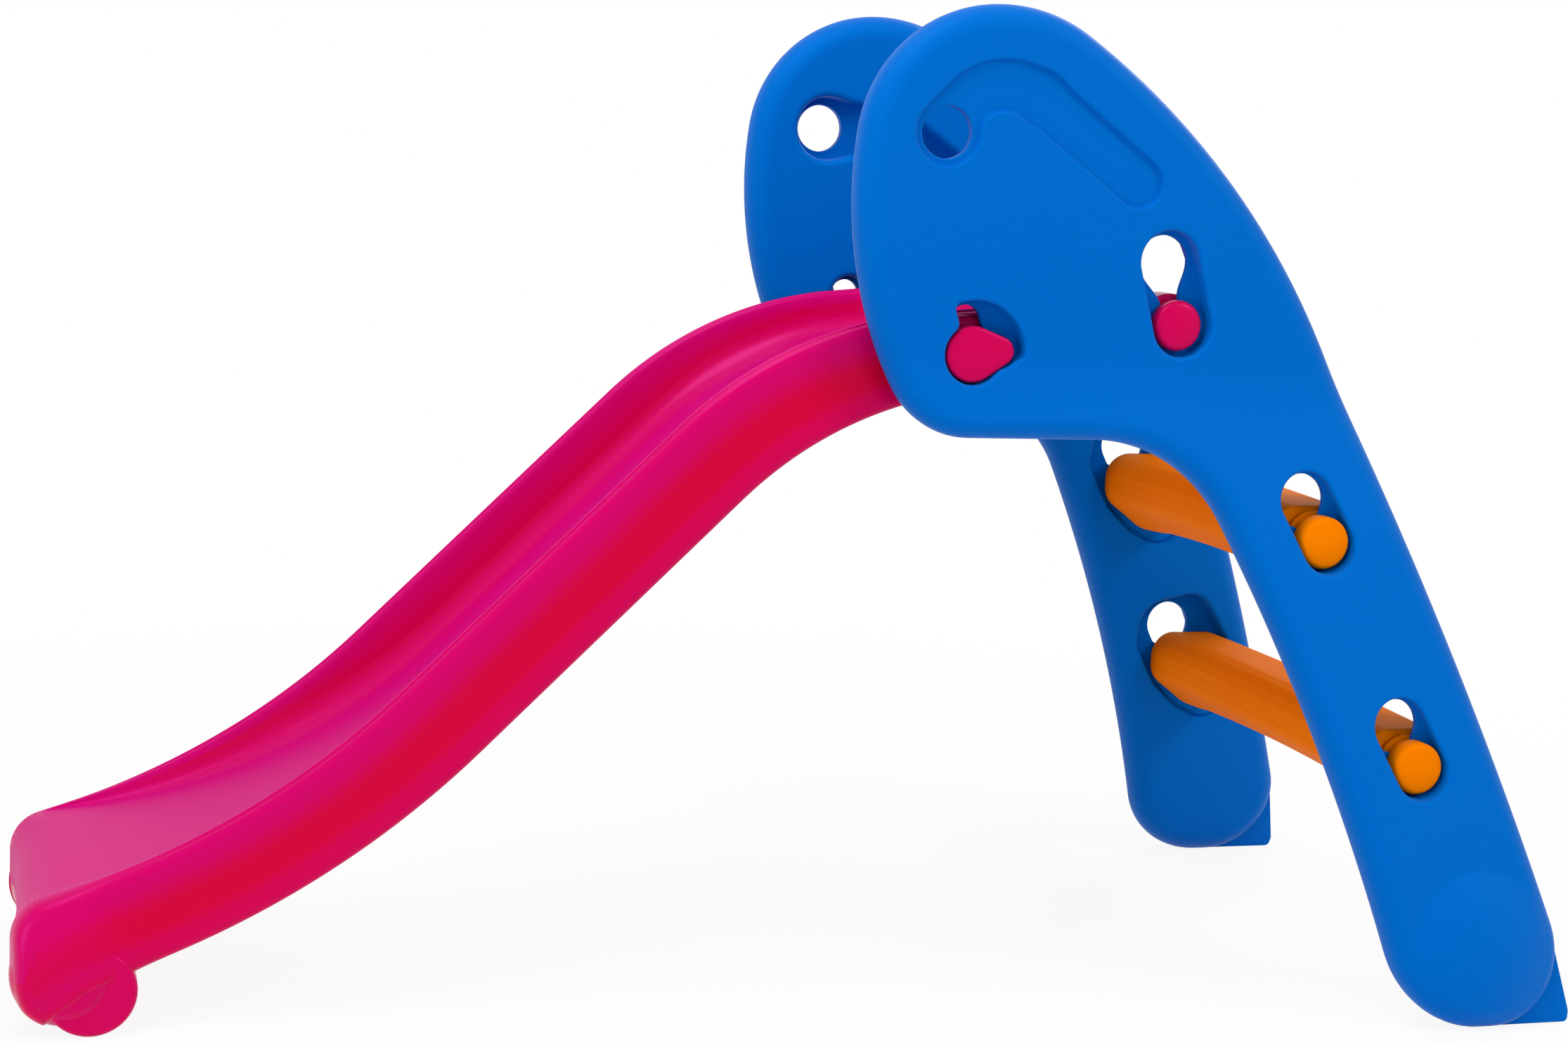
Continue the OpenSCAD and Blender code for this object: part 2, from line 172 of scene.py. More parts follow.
def rounded(corners: Sequence[Sequence[float]], closed: bool = True) -> list[Vector]:
    """A path through corners, each rounded by its own radius.

    Args:
        corners: [x, height, radius] of each corner, radius 0 for a sharp one.
        closed: Whether the last corner leads back to the first.

    Returns:
        The points along the path.
    """
    points: list[Vector] = []
    count = len(corners)
    for i, (x, z, radius) in enumerate(corners):
        here = Vector((x, z))
        if radius == 0 or (not closed and i in (0, count - 1)):
            points.append(here)
            continue
        u = (Vector(corners[i - 1][:2]) - here).normalized()
        v = (Vector(corners[(i + 1) % count][:2]) - here).normalized()
        half = math.acos(max(-1.0, min(1.0, u.dot(v)))) / 2
        centre = here + (u + v).normalized() * radius / math.sin(half)
        start = bearing(here + u * radius / math.tan(half) - centre)
        end = bearing(here + v * radius / math.tan(half) - centre)
        points += arc(centre, radius, start, start + (end - start + 540) % 360 - 180)
    return points


def along(points: Sequence[Vector], parts: Sequence[float], closed: bool = False) -> list[Vector]:
    """Points at given parts of a path's length.

    Args:
        points: The path.
        parts: How far along each wanted point lies, from 0 to 1, in rising order.
        closed: Whether the path runs back to its first point.

    Returns:
        One point for each part.
    """
    path = list(points) + ([points[0]] if closed else [])
    runs = [0.0]
    for a, b in zip(path, path[1:]):
        runs.append(runs[-1] + (b - a).length)
    found, j = [], 0
    for part in parts:
        run = part * runs[-1]
        while j < len(path) - 2 and runs[j + 1] < run:
            j += 1
        span = runs[j + 1] - runs[j]
        found.append(path[j].lerp(path[j + 1], (run - runs[j]) / span if span else 0.0))
    return found


def even(points: Sequence[Vector], count: int) -> list[Vector]:
    """A closed outline as evenly spaced points."""
    return along(points, [i / count for i in range(count)], closed=True)


def offset(outline: Sequence[Vector], reach: float) -> list[Vector]:
    """Moves a closed counter-clockwise outline.

    Args:
        outline: The outline.
        reach: How far it moves outwards, or inwards where this is negative.

    Returns:
        The moved outline, point for point.
    """
    moved = []
    for i, here in enumerate(outline):
        run = (outline[(i + 1) % len(outline)] - outline[i - 1]).normalized()
        moved.append(here + Vector((run.y, -run.x)) * reach)
    return moved


def disc(centre: Vector, radius: float) -> Distance:
    """Distance to a round disc."""
    return lambda p: (p - centre).length - radius


def bar(start: Vector, end: Vector, radius: float) -> Distance:
    """Distance to a straight band with round ends.

    Args:
        start: One end of its middle line.
        end: The other end.
        radius: Half its width.

    Returns:
        The distance function.
    """
    run = end - start
    return lambda p: (
        p - start - run * max(0.0, min(1.0, (p - start).dot(run) / run.dot(run)))
    ).length - radius


def bow(centre: Vector, radius: float, start: float, end: float, half: float) -> Distance:
    """Distance to a curved band with round ends.

    Args:
        centre: The centre that it curves about.
        radius: Radius of its middle line.
        start: The angle that it starts at.
        end: The angle that it ends at.
        half: Half its width.

    Returns:
        The distance function.
    """
    middle, swing = (start + end) / 2, abs(end - start) / 2

    def distance(p: Vector) -> float:
        """Distance from one point."""
        turn = (bearing(p - centre) - middle + 180) % 360 - 180
        turn = max(-swing, min(swing, turn))
        return (p - centre - polar(radius, middle + turn)).length - half

    return distance


def plate(corners: Sequence[Vector], round_by: float) -> Distance:
    """Distance to a flat plate.

    Args:
        corners: Its corners.
        round_by: How far it grows beyond them, which also rounds them.

    Returns:
        The distance function.
    """

    def distance(p: Vector) -> float:
        """Distance from one point."""
        nearest, sign = (p - corners[0]).length_squared, 1
        for i, here in enumerate(corners):
            run, reach = corners[i - 1] - here, p - here
            gap = reach - run * max(0.0, min(1.0, reach.dot(run) / run.dot(run)))
            nearest = min(nearest, gap.length_squared)
            tests = (p.y >= here.y, p.y < corners[i - 1].y, run.x * reach.y > run.y * reach.x)
            if all(tests) or not any(tests):
                sign = -sign
        return sign * math.sqrt(nearest) - round_by

    return distance


def joined(ease: float, *shapes: Distance) -> Distance:
    """Distance to several shapes made one.

    Args:
        ease: How softly the corners between them are filled.
        shapes: The shapes.

    Returns:
        The distance function.
    """

    def distance(p: Vector) -> float:
        """Distance from one point."""
        value = shapes[0](p)
        for shape in shapes[1:]:
            other = shape(p)
            blend = max(ease - abs(value - other), 0.0) / ease
            value = min(value, other) - blend * blend * ease / 4
        return value

    return distance


def web_faces(middle: float) -> tuple[float, float]:
    """The Y of a knob's two faces that hold a web between them, each a running gap from it."""
    return middle - HALF_WEB - RUN_GAP, middle + HALF_WEB + RUN_GAP


def within(shape: Distance, other: Distance, margin: float) -> Distance:
    """Distance to the part of a shape that lies at least a margin inside another."""
    return lambda p: max(shape(p), other(p) + margin)


def traced(shape: Distance, inside: Vector, count: int) -> list[Vector]:
    """The outline of a shape, walked counter-clockwise.

    Args:
        shape: Its distance function.
        inside: A point inside it.
        count: How many points to return.

    Returns:
        Evenly spaced points.
    """
    step_x, step_z = Vector((NUDGE, 0)), Vector((0, NUDGE))

    def slope(p: Vector) -> Vector:
        """The way out of the shape."""
        rises = (shape(p + step) - shape(p - step) for step in (step_x, step_z))
        return Vector(tuple(rises)).normalized()

    def settled(p: Vector) -> Vector:
        """The outline's point nearest to p."""
        for _ in range(4):
            p = p - slope(p) * shape(p)
        return p

    start = inside.copy()
    while shape(start) < 0:
        start = start + Vector((1, 0))
    start = settled(start)
    points = [start]
    for pace in range(4000):
        out = slope(points[-1])
        here = settled(points[-1] + Vector((-out.y, out.x)) * PACE)
        if pace > 5 and (here - start).length < PACE * 0.8:
            break
        points.append(here)
    return even(points, count)


# ---------------------------------------------------------------- meshes


def pebble(outline: Sequence[Vector], base: float, top: float, edge: float,
           crown: float) -> list[list[Vector]]:
    """Rings of a button: a wall whose upper edge is rounded and whose face is crowned.

    Args:
        outline: The button's outline.
        base: The Y that its wall starts at.
        top: The Y of its middle.
        edge: The radius of its edge.
        crown: How far its middle stands out beyond its edge.

    Returns:
        The rings, from the base to near the middle.
    """
    way = 1 if top > base else -1
    centre = sum(outline, Vector((0, 0))) / len(outline)
    flat = [(offset(outline, -0.9), base), (offset(outline, -0.25), base + way * 0.25),
            (outline, base + way * 0.9)]
    shoulder = top - way * crown
    flat += [(offset(outline, -edge * (1 - near)), shoulder - way * edge * (1 - rise))
             for near, rise in quarter(5)]
    rim = flat[-1][0]
    for part in (0.85, 0.65, 0.42, 0.2, 0.05):
        flat.append(([centre.lerp(p, part) for p in rim], shoulder + way * crown * (1 - part * part)))
    return [at_y(ring, y) for ring, y in flat]


def button_profile(radius: float, base: float, top: float, edge: float,
                   crown: float) -> list[tuple[float, float]]:
    """The spun profile of a round button.

    Args:
        radius: The button's radius.
        base: The Y that its wall starts at.
        top: The Y of its middle, above base.
        edge: The radius of its edge.
        crown: How far its middle stands out beyond its edge.

    Returns:
        Radius and Y of each point, from the wall's foot to the middle.
    """
    shoulder, rim = top - crown, radius - edge
    profile = [(radius - 1.0, base), (radius, base + 1.0)]
    profile += [(radius - edge * (1 - near), shoulder - edge * (1 - rise)) for near, rise in quarter(6)]
    return profile + [(rim * part, shoulder + crown * (1 - part * part))
                      for part in (0.8, 0.6, 0.4, 0.2, 0.0)]


class Skin:
    """A mesh under construction, in millimetres, grown ring by ring."""

    def __init__(self) -> None:
        """Starts an empty mesh with one value a point, its painted light, which its finish reads: how far the
        point is painted in the colour that falling light gives the plastic.
        """
        self.mesh = bmesh.new()
        self.tone = self.mesh.verts.layers.float.new("tone")

    def ring(self, places: Sequence[Vector], closed: bool = True) -> Ring:
        """Makes a new chain of points.

        Args:
            places: Where they are.
            closed: Whether the last is joined to the first.

        Returns:
            The points.
        """
        verts = [self.mesh.verts.new(place) for place in places]
        for pair in zip(verts, verts[1:] + verts[:1]) if closed else zip(verts, verts[1:]):
            self.mesh.edges.new(pair)
        return verts

    def loop(self, ring: Ring) -> list[bmesh.types.BMEdge]:
        """The edges of a closed ring."""
        return [self.mesh.edges.get(pair) for pair in zip(ring, ring[1:] + ring[:1])]

    def grown(self, ring: Ring, places: Sequence[Vector]) -> Ring:
        """Extrudes a closed ring.

        Args:
            ring: The ring.
            places: Where each of its points goes.

        Returns:
            The new ring.
        """
        made = bmesh.ops.extrude_edge_only(self.mesh, edges=self.loop(ring))["geom"]
        fresh = {part for part in made if isinstance(part, bmesh.types.BMVert)}
        twins = []
        for vert, place in zip(ring, places):
            twin = next(e.other_vert(vert) for e in vert.link_edges if e.other_vert(vert) in fresh)
            twin.co = place
            twins.append(twin)
        return twins

    def strip(self, rings: Sequence[Sequence[Vector]]) -> tuple[Ring, Ring]:
        """Grows a wall through rings of places.

        Args:
            rings: The places of each ring.

        Returns:
            The wall's first and last ring.
        """
        first = last = self.ring(rings[0])
        for places in rings[1:]:
            last = self.grown(last, places)
        return first, last

    def shell(self, rings: Sequence[Sequence[Vector]]) -> None:
        """Grows a wall through rings of places and closes each end with one face."""
        for ring in self.strip(rings):
            self.mesh.faces.new(ring)

    def filled(self, *rings: Ring) -> None:
        """Fills the flat region between rings.

        Args:
            rings: The rings, the first of them round the others.
        """
        edges = [edge for ring in rings for edge in self.loop(ring)]
        bmesh.ops.triangle_fill(
            self.mesh, edges=edges, use_beauty=True, use_dissolve=False, normal=(0, 1, 0))

    def turned(self, profile: Sequence[tuple[float, float]], centre: Vector, way: int = 1,
               steps: int = 72) -> None:
        """Spins a profile about an axis along Y.

        Args:
            profile: Radius and Y of each point.
            centre: The axis in the side view.
            way: -1 where the profile is turned over to the near side.
            steps: How many steps the spin takes.
        """
        places = [Vector((centre.x + radius, way * y, centre.y)) for radius, y in profile]
        chain = self.ring(places, closed=False)
        edges = [self.mesh.edges.get(pair) for pair in zip(chain, chain[1:])]
        bmesh.ops.spin(
            self.mesh, geom=chain + edges, cent=(centre.x, 0, centre.y), axis=(0, 1, 0), dvec=(0, 0, 0),
            angle=math.tau, steps=steps, use_merge=True, use_normal_flip=False, use_duplicate=False)

    def stacked(self, parts: Sequence[Sequence[float]], centre: Vector, way: int) -> None:
        """Spins the round parts of a knob.

        Args:
            parts: Radius, lower Y, upper Y, edge radius and crown of each part.
            centre: The knob's axis in the side view.
            way: -1 on the near side and 1 on the far side.
        """
        for part in parts:
            self.turned([(0.0, part[1])] + button_profile(*part), centre, way)

    def finished(self, name: str, pivot: Vector, material: bpy.types.Material,
                 tone: float | None = None) -> bpy.types.Object:
        """Makes the object: doubles merged, faces outwards, metres, smooth shading.

        Args:
            name: The piece's name.
            pivot: The pivot axis in the frame, in metres.
            material: Its finish.
            tone: How far the whole piece is painted in its finish's painted-light colour, or None where its
                points have their own.

        Returns:
            The new object, linked to the scene.
        """
        if tone is not None:
            for vert in self.mesh.verts:
                vert[self.tone] = tone
        bmesh.ops.remove_doubles(self.mesh, verts=self.mesh.verts, dist=DOUBLES)
        bmesh.ops.recalc_face_normals(self.mesh, faces=self.mesh.faces)
        self.mesh.transform(Matrix.Translation(pivot) @ Matrix.Scale(MM, 4))
        open_edges = sum(not edge.is_manifold for edge in self.mesh.edges)
        mesh = bpy.data.meshes.new(name)
        self.mesh.to_mesh(mesh)
        self.mesh.free()
        mesh.shade_smooth()
        mesh.materials.append(material)
        piece = bpy.data.objects.new(name, mesh)
        bpy.context.scene.collection.objects.link(piece)
        LOG.info("%s: %d faces, %d open edges", name, len(mesh.polygons), open_edges)
        return piece


# ---------------------------------------------------------------- finishes


def srgb(red: float, green: float, blue: float) -> Colour:
    """A colour in linear light.

    Args:
        red: Its red, from 0 to 255, as it shows.
        green: Its green.
        blue: Its blue.

    Returns:
        The colour, opaque.
    """

    def linear(level: float) -> float:
        """One channel."""
        part = level / 255
        return part / 12.92 if part <= 0.04045 else ((part + 0.055) / 1.055) ** 2.4

    return linear(red), linear(green), linear(blue), 1.0


class Wire:
    """A number socket whose arithmetic adds Math nodes."""

    def __init__(self, board: "Board", socket: Any) -> None:
        """Wraps one output socket of a board."""
        self.board, self.socket = board, socket

    def _math(self, operation: str, first: Any, second: Any) -> "Wire":
        """One Math node on two wires or numbers."""
        return self.board.add("ShaderNodeMath", {"operation": operation}, {0: first, 1: second})[0]

    def __add__(self, other: Any) -> "Wire":
        """self + other."""
        return self._math("ADD", self, other)

    def __radd__(self, other: Any) -> "Wire":
        """other + self."""
        return self._math("ADD", other, self)

    def __sub__(self, other: Any) -> "Wire":
        """self - other."""
        return self._math("SUBTRACT", self, other)

    def __rsub__(self, other: Any) -> "Wire":
        """other - self."""
        return self._math("SUBTRACT", other, self)

    def __mul__(self, other: Any) -> "Wire":
        """self * other."""
        return self._math("MULTIPLY", self, other)

    def __rmul__(self, other: Any) -> "Wire":
        """other * self."""
        return self._math("MULTIPLY", other, self)


class Board:
    """The node tree of a material or of the world, built by adding nodes to it."""

    def __init__(self, owner: Any) -> None:
        """Empties the owner's tree."""
        self.owner = owner
        owner.use_nodes = True
        self.tree = owner.node_tree
        self.tree.nodes.clear()

    @classmethod
    def material(cls, name: str) -> "Board":
        """The board of a new material."""
        return cls(bpy.data.materials.new(name))

    def add(self, kind: str, settings: dict[str, Any], inputs: dict[Any, Any]) -> list[Wire]:
        """Adds one node.

        Args:
            kind: The node's type.
            settings: Its properties.
            inputs: A value or a wire for each socket, by name or number.

        Returns:
            Its outputs.
        """
        node = self.tree.nodes.new(kind)
        for key, value in settings.items():
            setattr(node, key, value)
        for key, value in inputs.items():
            if isinstance(value, Wire):
                self.tree.links.new(value.socket, node.inputs[key])
            else:
                node.inputs[key].default_value = value
        return [Wire(self, socket) for socket in node.outputs]

    def mixed(self, part: Any, first: Any, second: Any) -> Wire:
        """A colour between two, by a part from 0 to 1."""
        return self.add("ShaderNodeMix", {"data_type": "RGBA"}, {0: part, 6: first, 7: second})[2]

    def seen(self) -> Wire:
        """1 where the camera, a reflection or glass sees a surface, and 0 where light does."""
        path = self.add("ShaderNodeLightPath", {}, {})
        return self.add("ShaderNodeClamp", {}, {0: path[0] + path[3] + path[6]})[0]

    def done(self, shader: Wire, output: str = "ShaderNodeOutputMaterial") -> Any:
        """Connects the shader to the output and returns the owner."""
        self.add(output, {}, {"Surface": shader})
        return self.owner


@dataclass(frozen=True)
class MouldedPlastic:
    """A coloured moulded plastic with a fine grain, and a painted-light colour that a piece's painted light
    mixes in.

    Attributes:
        name: The material's name.
        colour: Its colour.
        deep: The colour that it drifts to in soft patches.
        painted_light_colour: The colour painted where a piece's painted light is 1: the hue that light falling
            from above gives the plastic, painted in as colour.
        roughness: How matt it is.
        shine: Its gloss level.
        tint: The colour of its gloss seen straight on.
        grain_strength: How strongly the grain shows.
        grain_per_m: Grains in a metre.
        grain_depth: Depth of the grain, in metres.
        spread: How much its roughness drifts.
        rub: How much rougher it is where a piece's painted light is 1.
        drift_per_m: How close the soft patches lie.
    """

    name: str
    colour: Colour
    deep: Colour
    painted_light_colour: Colour
    roughness: float
    shine: float
    tint: Colour
    grain_strength: float
    grain_per_m: float = 620.0
    grain_depth: float = 0.00012
    spread: float = 0.06
    rub: float = 0.0
    drift_per_m: float = 5.0

    def made(self) -> bpy.types.Material:
        """Builds the material.

        Returns:
            The material.
        """
        board = Board.material(self.name)
        place = board.add("ShaderNodeTexCoord", {}, {})[3]
        drift = board.add(
            "ShaderNodeTexNoise", {}, {"Vector": place, "Scale": self.drift_per_m, "Detail": 2.0})[0]
        grain = board.add(
            "ShaderNodeTexVoronoi", {"feature": "SMOOTH_F1"},
            {"Vector": place, "Scale": self.grain_per_m, "Smoothness": 0.6})[0]
        fine = board.add(
            "ShaderNodeTexNoise", {}, {"Vector": place, "Scale": self.grain_per_m * 1.9, "Detail": 2.0})[0]
        # Painted light: the piece's painted-light value paints the painted-light colour over the body, and it
        # also roughens the bed.
        tone = board.add("ShaderNodeAttribute", {"attribute_name": "tone"}, {})[2]
        painted_light_cubed = tone * tone * tone
        body = board.mixed(drift, self.colour, self.deep)
        roughness = self.roughness + (drift - 0.5) * self.spread + painted_light_cubed * painted_light_cubed * self.rub
        bump = board.add(
            "ShaderNodeBump", {},
            {"Strength": self.grain_strength, "Distance": self.grain_depth, "Height": grain + fine * 0.6})[0]
        # The base colour is painted towards the painted-light colour: painted sheen and shade, by where light
        # falls.
        shader = board.add(
            "ShaderNodeBsdfPrincipled", {},
            {"Base Color": board.mixed(tone, body, self.painted_light_colour), "Roughness": roughness,
             "Specular IOR Level": self.shine, "Specular Tint": self.tint, "Normal": bump})[0]
        return board.done(shader)


# ---------------------------------------------------------------- side panels


def leg_mid(height: float) -> float:
    """Distance of a panel's middle from the slide's centre plane, with an eased bend.

    Args:
        height: The height from the pivot.

    Returns:
        The distance.
    """
    drop, lean = -BEND_DROP - height, math.tan(FLARE)
    if drop <= -BEND_EASE:
        return MID_Y
    return MID_Y + (lean * drop if drop >= BEND_EASE else lean * (drop + BEND_EASE) ** 2 / (4 * BEND_EASE))


def leg_spread(height: float) -> float:
    """How much wider than its thickness a panel is along Y, because it leans."""
    return 1 + (1 / math.cos(FLARE) - 1) * smooth((-BEND_DROP - height + BEND_EASE) / (2 * BEND_EASE))


def web_y(height: float) -> float:
    """Distance of a step keyhole's web from the centre plane: it stands half-way up its slot."""
    lift = STEP_TRAVEL * math.cos(math.radians(SLOT_LEAN)) / 2
    return MID_Y + max(0.0, math.tan(FLARE) * (-BEND_DROP - height - lift))


@dataclass(frozen=True)
class Well:
    """A sunk shape in one face of a panel.

    Attributes:
        outline: Its outline in the side view.
        outer: Whether it is in the outer face.
        floor_y: Distance of its floor from the centre plane, or None for a floor that follows the face.
        depth: Depth of a floor that follows the face.
        lip: Radius of its edge.
        fillet: Radius round its floor.
        draft: How far its wall leans in.
        run: Width of the flat rim left inside the fillet.
    """

    outline: list[Vector]
    outer: bool
    floor_y: float | None = None
    depth: float = 0.0
    lip: float = 3.5
    fillet: float = 2.0
    draft: float = 0.4
    run: float = 0.6

    @property
    def way(self) -> int:
        """1 for the outer face and -1 for the inner one."""
        return 1 if self.outer else -1


@dataclass(frozen=True)
class Passage:
    """A hole right through a panel, with a well in each face.

    Attributes:
        outer: The well in the outer face.
        inner: The well in the inner face.
        outline: The hole's outline.
        edges: Radii of the hole's outer and inner edge.
    """

    outer: Well
    inner: Well
    outline: list[Vector]
    edges: tuple[float, float] = (0.5, 0.8)


@dataclass
class SidePanel:
    """One hollow side panel: hand panel, leg, heel and toe in one moulding.

    Its edge is a chain of arcs. A name in _r is an arc's radius, and a name in _turn the angle at which
    one arc passes into the next.
    """

    side: Side
    material: bpy.types.Material
    pivot: Vector
    edge_r: float = 21.0
    crown_r: float = 143.0
    back_r: float = 707.0
    back_turn: float = 57.2
    leg_back_r: float = 3818.0
    leg_turn: float = 27.2
    heel_r: float = 70.0
    shoulder_r: float = 127.5
    shoulder_turn: float = 100.0
    front_r: float = 380.0
    front_turn: float = 173.0
    chin_r: float = 76.0
    head_drop: float = 74.5
    arch_r: float = 138.0
    arch_turn: float = 27.6
    leg_inner_r: float = 2000.0
    foot_r: float = 88.0
    grip_r: float = 23.0
    grip: Vector = field(default_factory=lambda: Vector((-34.8, GUARD_H - 112.4)))
    grip_land: float = 7.0
    band_r: float = 55.0
    band_half: float = 22.0
    band_run: float = 117.0
    band_ends: tuple[float, float] = (54.0, 166.7)
    band_depth: float = 5.0
    groove_run: float = 67.0
    groove_tail: float = 100.0
    groove_dip: float = 35.0
    groove_depth: float = 30.0
    dome_r: float = 66.0
    dome_h: float = 12.6
    dome_patch: tuple[tuple[int, float, float], ...] = ((0, -82.0, 74.0), (1, -74.0, 82.0))
    dome_cuts: int = 42
    toe_reach: float = 14.0
    toe_t: float = 10.0
    edge_points: int = 420

    def __post_init__(self) -> None:
        """Works out the centres of the arcs that make the panel's edge."""
        self.crown = Vector((20, GUARD_H - self.crown_r))
        self.back = self.crown + polar(self.crown_r - self.back_r, self.back_turn)
        self.leg_back = self.back + polar(self.back_r - self.leg_back_r, self.leg_turn)
        self.heel = self._level(self.leg_back, self.leg_back_r - self.heel_r, GROUND + self.heel_r)
        self.shoulder = self.crown + polar(self.crown_r - self.shoulder_r, self.shoulder_turn)
        self.front = self.shoulder + polar(self.shoulder_r - self.front_r, self.front_turn)
        self.chin = self._level(self.front, -(self.front_r - self.chin_r), self.chin_r - self.head_drop)
        self.arch = Vector((122, -self.head_drop - self.arch_r))
        self.leg_inner = self.arch + polar(self.arch_r - self.leg_inner_r, self.arch_turn)
        self.foot = self._level(self.leg_inner, self.leg_inner_r + self.foot_r, GROUND + self.foot_r)
        self.dome = self.heel + Vector((-13, 6))
        self.toe_x = self.heel.x + self.heel_r + self.toe_reach

    @staticmethod
    def _level(centre: Vector, radius: float, height: float) -> Vector:
        """The point at a height on a circle, on its right for a positive radius."""
        rise = height - centre.y
        return Vector((centre.x + math.copysign(math.sqrt(radius * radius - rise * rise), radius), height))

    @staticmethod
    def _signed(turn: float) -> float:
        """An angle from -180 to 180 in place of one from 0 to 360."""
        return turn - (360 if turn > 180 else 0)

    def edge(self) -> list[Vector]:
        """The panel's outline in the side view, counter-clockwise.

        Returns:
            Its points.
        """
        heel_to = self._signed(bearing(self.heel - self.leg_back))
        inner_to = self._signed(bearing(self.foot - self.leg_inner))
        chin_from = bearing(self.chin - self.front)
        foot_from = bearing(self.leg_inner - self.foot)
        return even([
            *arc(self.heel, self.heel_r, -90, heel_to),
            *arc(self.leg_back, self.leg_back_r, heel_to, self.leg_turn),
            *arc(self.back, self.back_r, self.leg_turn, self.back_turn),
            *arc(self.crown, self.crown_r, self.back_turn, self.shoulder_turn),
            *arc(self.shoulder, self.shoulder_r, self.shoulder_turn, self.front_turn),
            *arc(self.front, self.front_r, self.front_turn, chin_from),
            *arc(self.chin, self.chin_r, chin_from, 270),
            *arc(self.arch, self.arch_r, 90, self.arch_turn),
            *arc(self.leg_inner, self.leg_inner_r, self.arch_turn, inner_to),
            *arc(self.foot, self.foot_r, foot_from, 270)], self.edge_points)

    def knob(self, i: int) -> Vector:
        """Where a step's knob sits, from the pivot: midway between the leg's two edges.

        Args:
            i: 0 for the upper step and 1 for the lower one.

        Returns:
            The knob's axis in the side view.
        """
        height = -STEP_DROP - i * STEP_PITCH
        back = self._level(self.leg_back, self.leg_back_r, height).x
        return Vector(((back + self._level(self.leg_inner, self.leg_inner_r, height).x) / 2, height))

    @staticmethod
    def _on_floor(well: Well, outline: Sequence[Vector], rise: float = 0.0) -> list[Vector]:
        """Lays an outline on a well's floor.

        Args:
            well: The well.
            outline: The outline in the side view.
            rise: How far over the floor it lies, along the panel's depth.

        Returns:
            Its places in the flat panel, before it is bent.
        """
        if well.floor_y is None:
            return at_y(outline, well.way * (HALF_T - well.depth) + rise)
        return [Vector((p.x, (well.floor_y - leg_mid(p.y)) / leg_spread(p.y) + rise, p.y)) for p in outline]

    def _sunk(self, skin: Skin, well: Well) -> tuple[Ring, Ring]:
        """Grows a well's wall.

        Args:
            skin: The panel's mesh.
            well: The well.

        Returns:
            The wall's rings on the face and on the floor.
        """
        rings = [at_y(offset(well.outline, well.lip + 1.2), well.way * HALF_T)]
        for near, rise in quarter(6):
            y = well.way * (HALF_T - well.lip * (1 - near))
            rings.append(at_y(offset(well.outline, well.lip * (1 - rise)), y))
        for near, rise in quarter(3):
            inner = offset(well.outline, -well.draft - well.fillet * (1 - near))
            rings.append(self._on_floor(well, inner, well.way * well.fillet * (1 - rise)))
        rings.append(self._on_floor(well, offset(well.outline, -well.draft - well.fillet - well.run)))
        return skin.strip(rings)

    def _sunk_through(self, skin: Skin, hole: Passage) -> tuple[Ring, Ring]:
        """Sinks two wells back to back with a hole between them.

        Args:
            skin: The panel's mesh.
            hole: The wells and the hole.

        Returns:
            The wells' rings on the outer and the inner face.
        """
        outer_face, outer_floor = self._sunk(skin, hole.outer)
        inner_face, inner_floor = self._sunk(skin, hole.inner)
        walls = []
        for well, edge in zip((hole.outer, hole.inner), hole.edges):
            wall = [self._on_floor(well, offset(hole.outline, edge + 0.3))]
            for near, rise in quarter(3):
                inner = offset(hole.outline, edge * (1 - rise))
                wall.append(self._on_floor(well, inner, -well.way * edge * (1 - near)))
            walls.append(wall)
        top, bottom = skin.strip(walls[0] + walls[1][::-1])
        skin.filled(outer_floor, top)
        skin.filled(inner_floor, bottom)
        return outer_face, inner_face

    def _hand_hole(self) -> Passage:
        """The hand hole, with the curved band outside and the finger groove inside.

        Returns:
            Its wells and its hole.
        """
        centre = self.grip - polar(self.band_r, self.band_ends[1])
        bend = centre + polar(self.band_r, self.band_ends[0])
        end = bend + polar(self.band_run, self.band_ends[0] - 90)
        band = joined(
            9.0, bow(centre, self.band_r, *self.band_ends, self.band_half),
            bar(bend, end, self.band_half), disc(self.grip, self.band_half + self.grip_land))
        bend = Vector((self.grip.x + self.groove_run, self.grip.y))
        end = bend + polar(self.groove_tail, -self.groove_dip)
        half = self.grip_r + 1
        groove = joined(14.0, bar(self.grip, bend, half), bar(bend, end, half), disc(self.grip, half + 6))
        return Passage(
            Well(traced(band, self.grip, BAND_POINTS), True, depth=self.band_depth, lip=2.6, fillet=0.8,
                 draft=1.0),
            Well(traced(groove, self.grip, BAND_POINTS), False, depth=self.groove_depth, lip=6.0,
                 fillet=3.0, draft=1.0),
            traced(disc(self.grip, self.grip_r), self.grip, 96), (1.2, 1.2))

    @staticmethod
    def _front_keyhole() -> Passage:
        """A front knob's keyhole: a teardrop that its head passes only when it is turned.

        Returns:
            Its wells and its hole.
        """
        origin, ease, entry_gap, round_by = Vector((0, 0)), 6.0, 1.3, 6.0
        tip, entry_tip = polar(TIP_D, REST_TURN), polar(TIP_D + 3, ENTRY_TURN)
        sweep = plate([origin] + arc(origin, TIP_D + TIP_R + 9 - round_by, 4, 108, 8), round_by)
        outer = joined(
            ease, disc(origin, PIVOT_R + POCKET_GAP), bar(origin, tip, TIP_R + POCKET_GAP), sweep)
        inner = joined(
            8.0, disc(origin, PIVOT_BOSS_R + POCKET_GAP), bar(origin, entry_tip, TIP_R + 3.5 + POCKET_GAP))
        hole = joined(ease, disc(origin, PIVOT_R + RUN_GAP), bar(origin, entry_tip, TIP_R + entry_gap))
        return Passage(
            Well(traced(outer, origin, KEYHOLE_POINTS), True, MID_Y + HALF_WEB, lip=3.0, fillet=0.3,
                 draft=0.1, run=0.1),
            Well(traced(inner, origin, KEYHOLE_POINTS), False, MID_Y - HALF_WEB, lip=6.0, fillet=1.2),
            traced(within(hole, outer, 1.2), origin, KEYHOLE_POINTS), (0.3, 0.8))

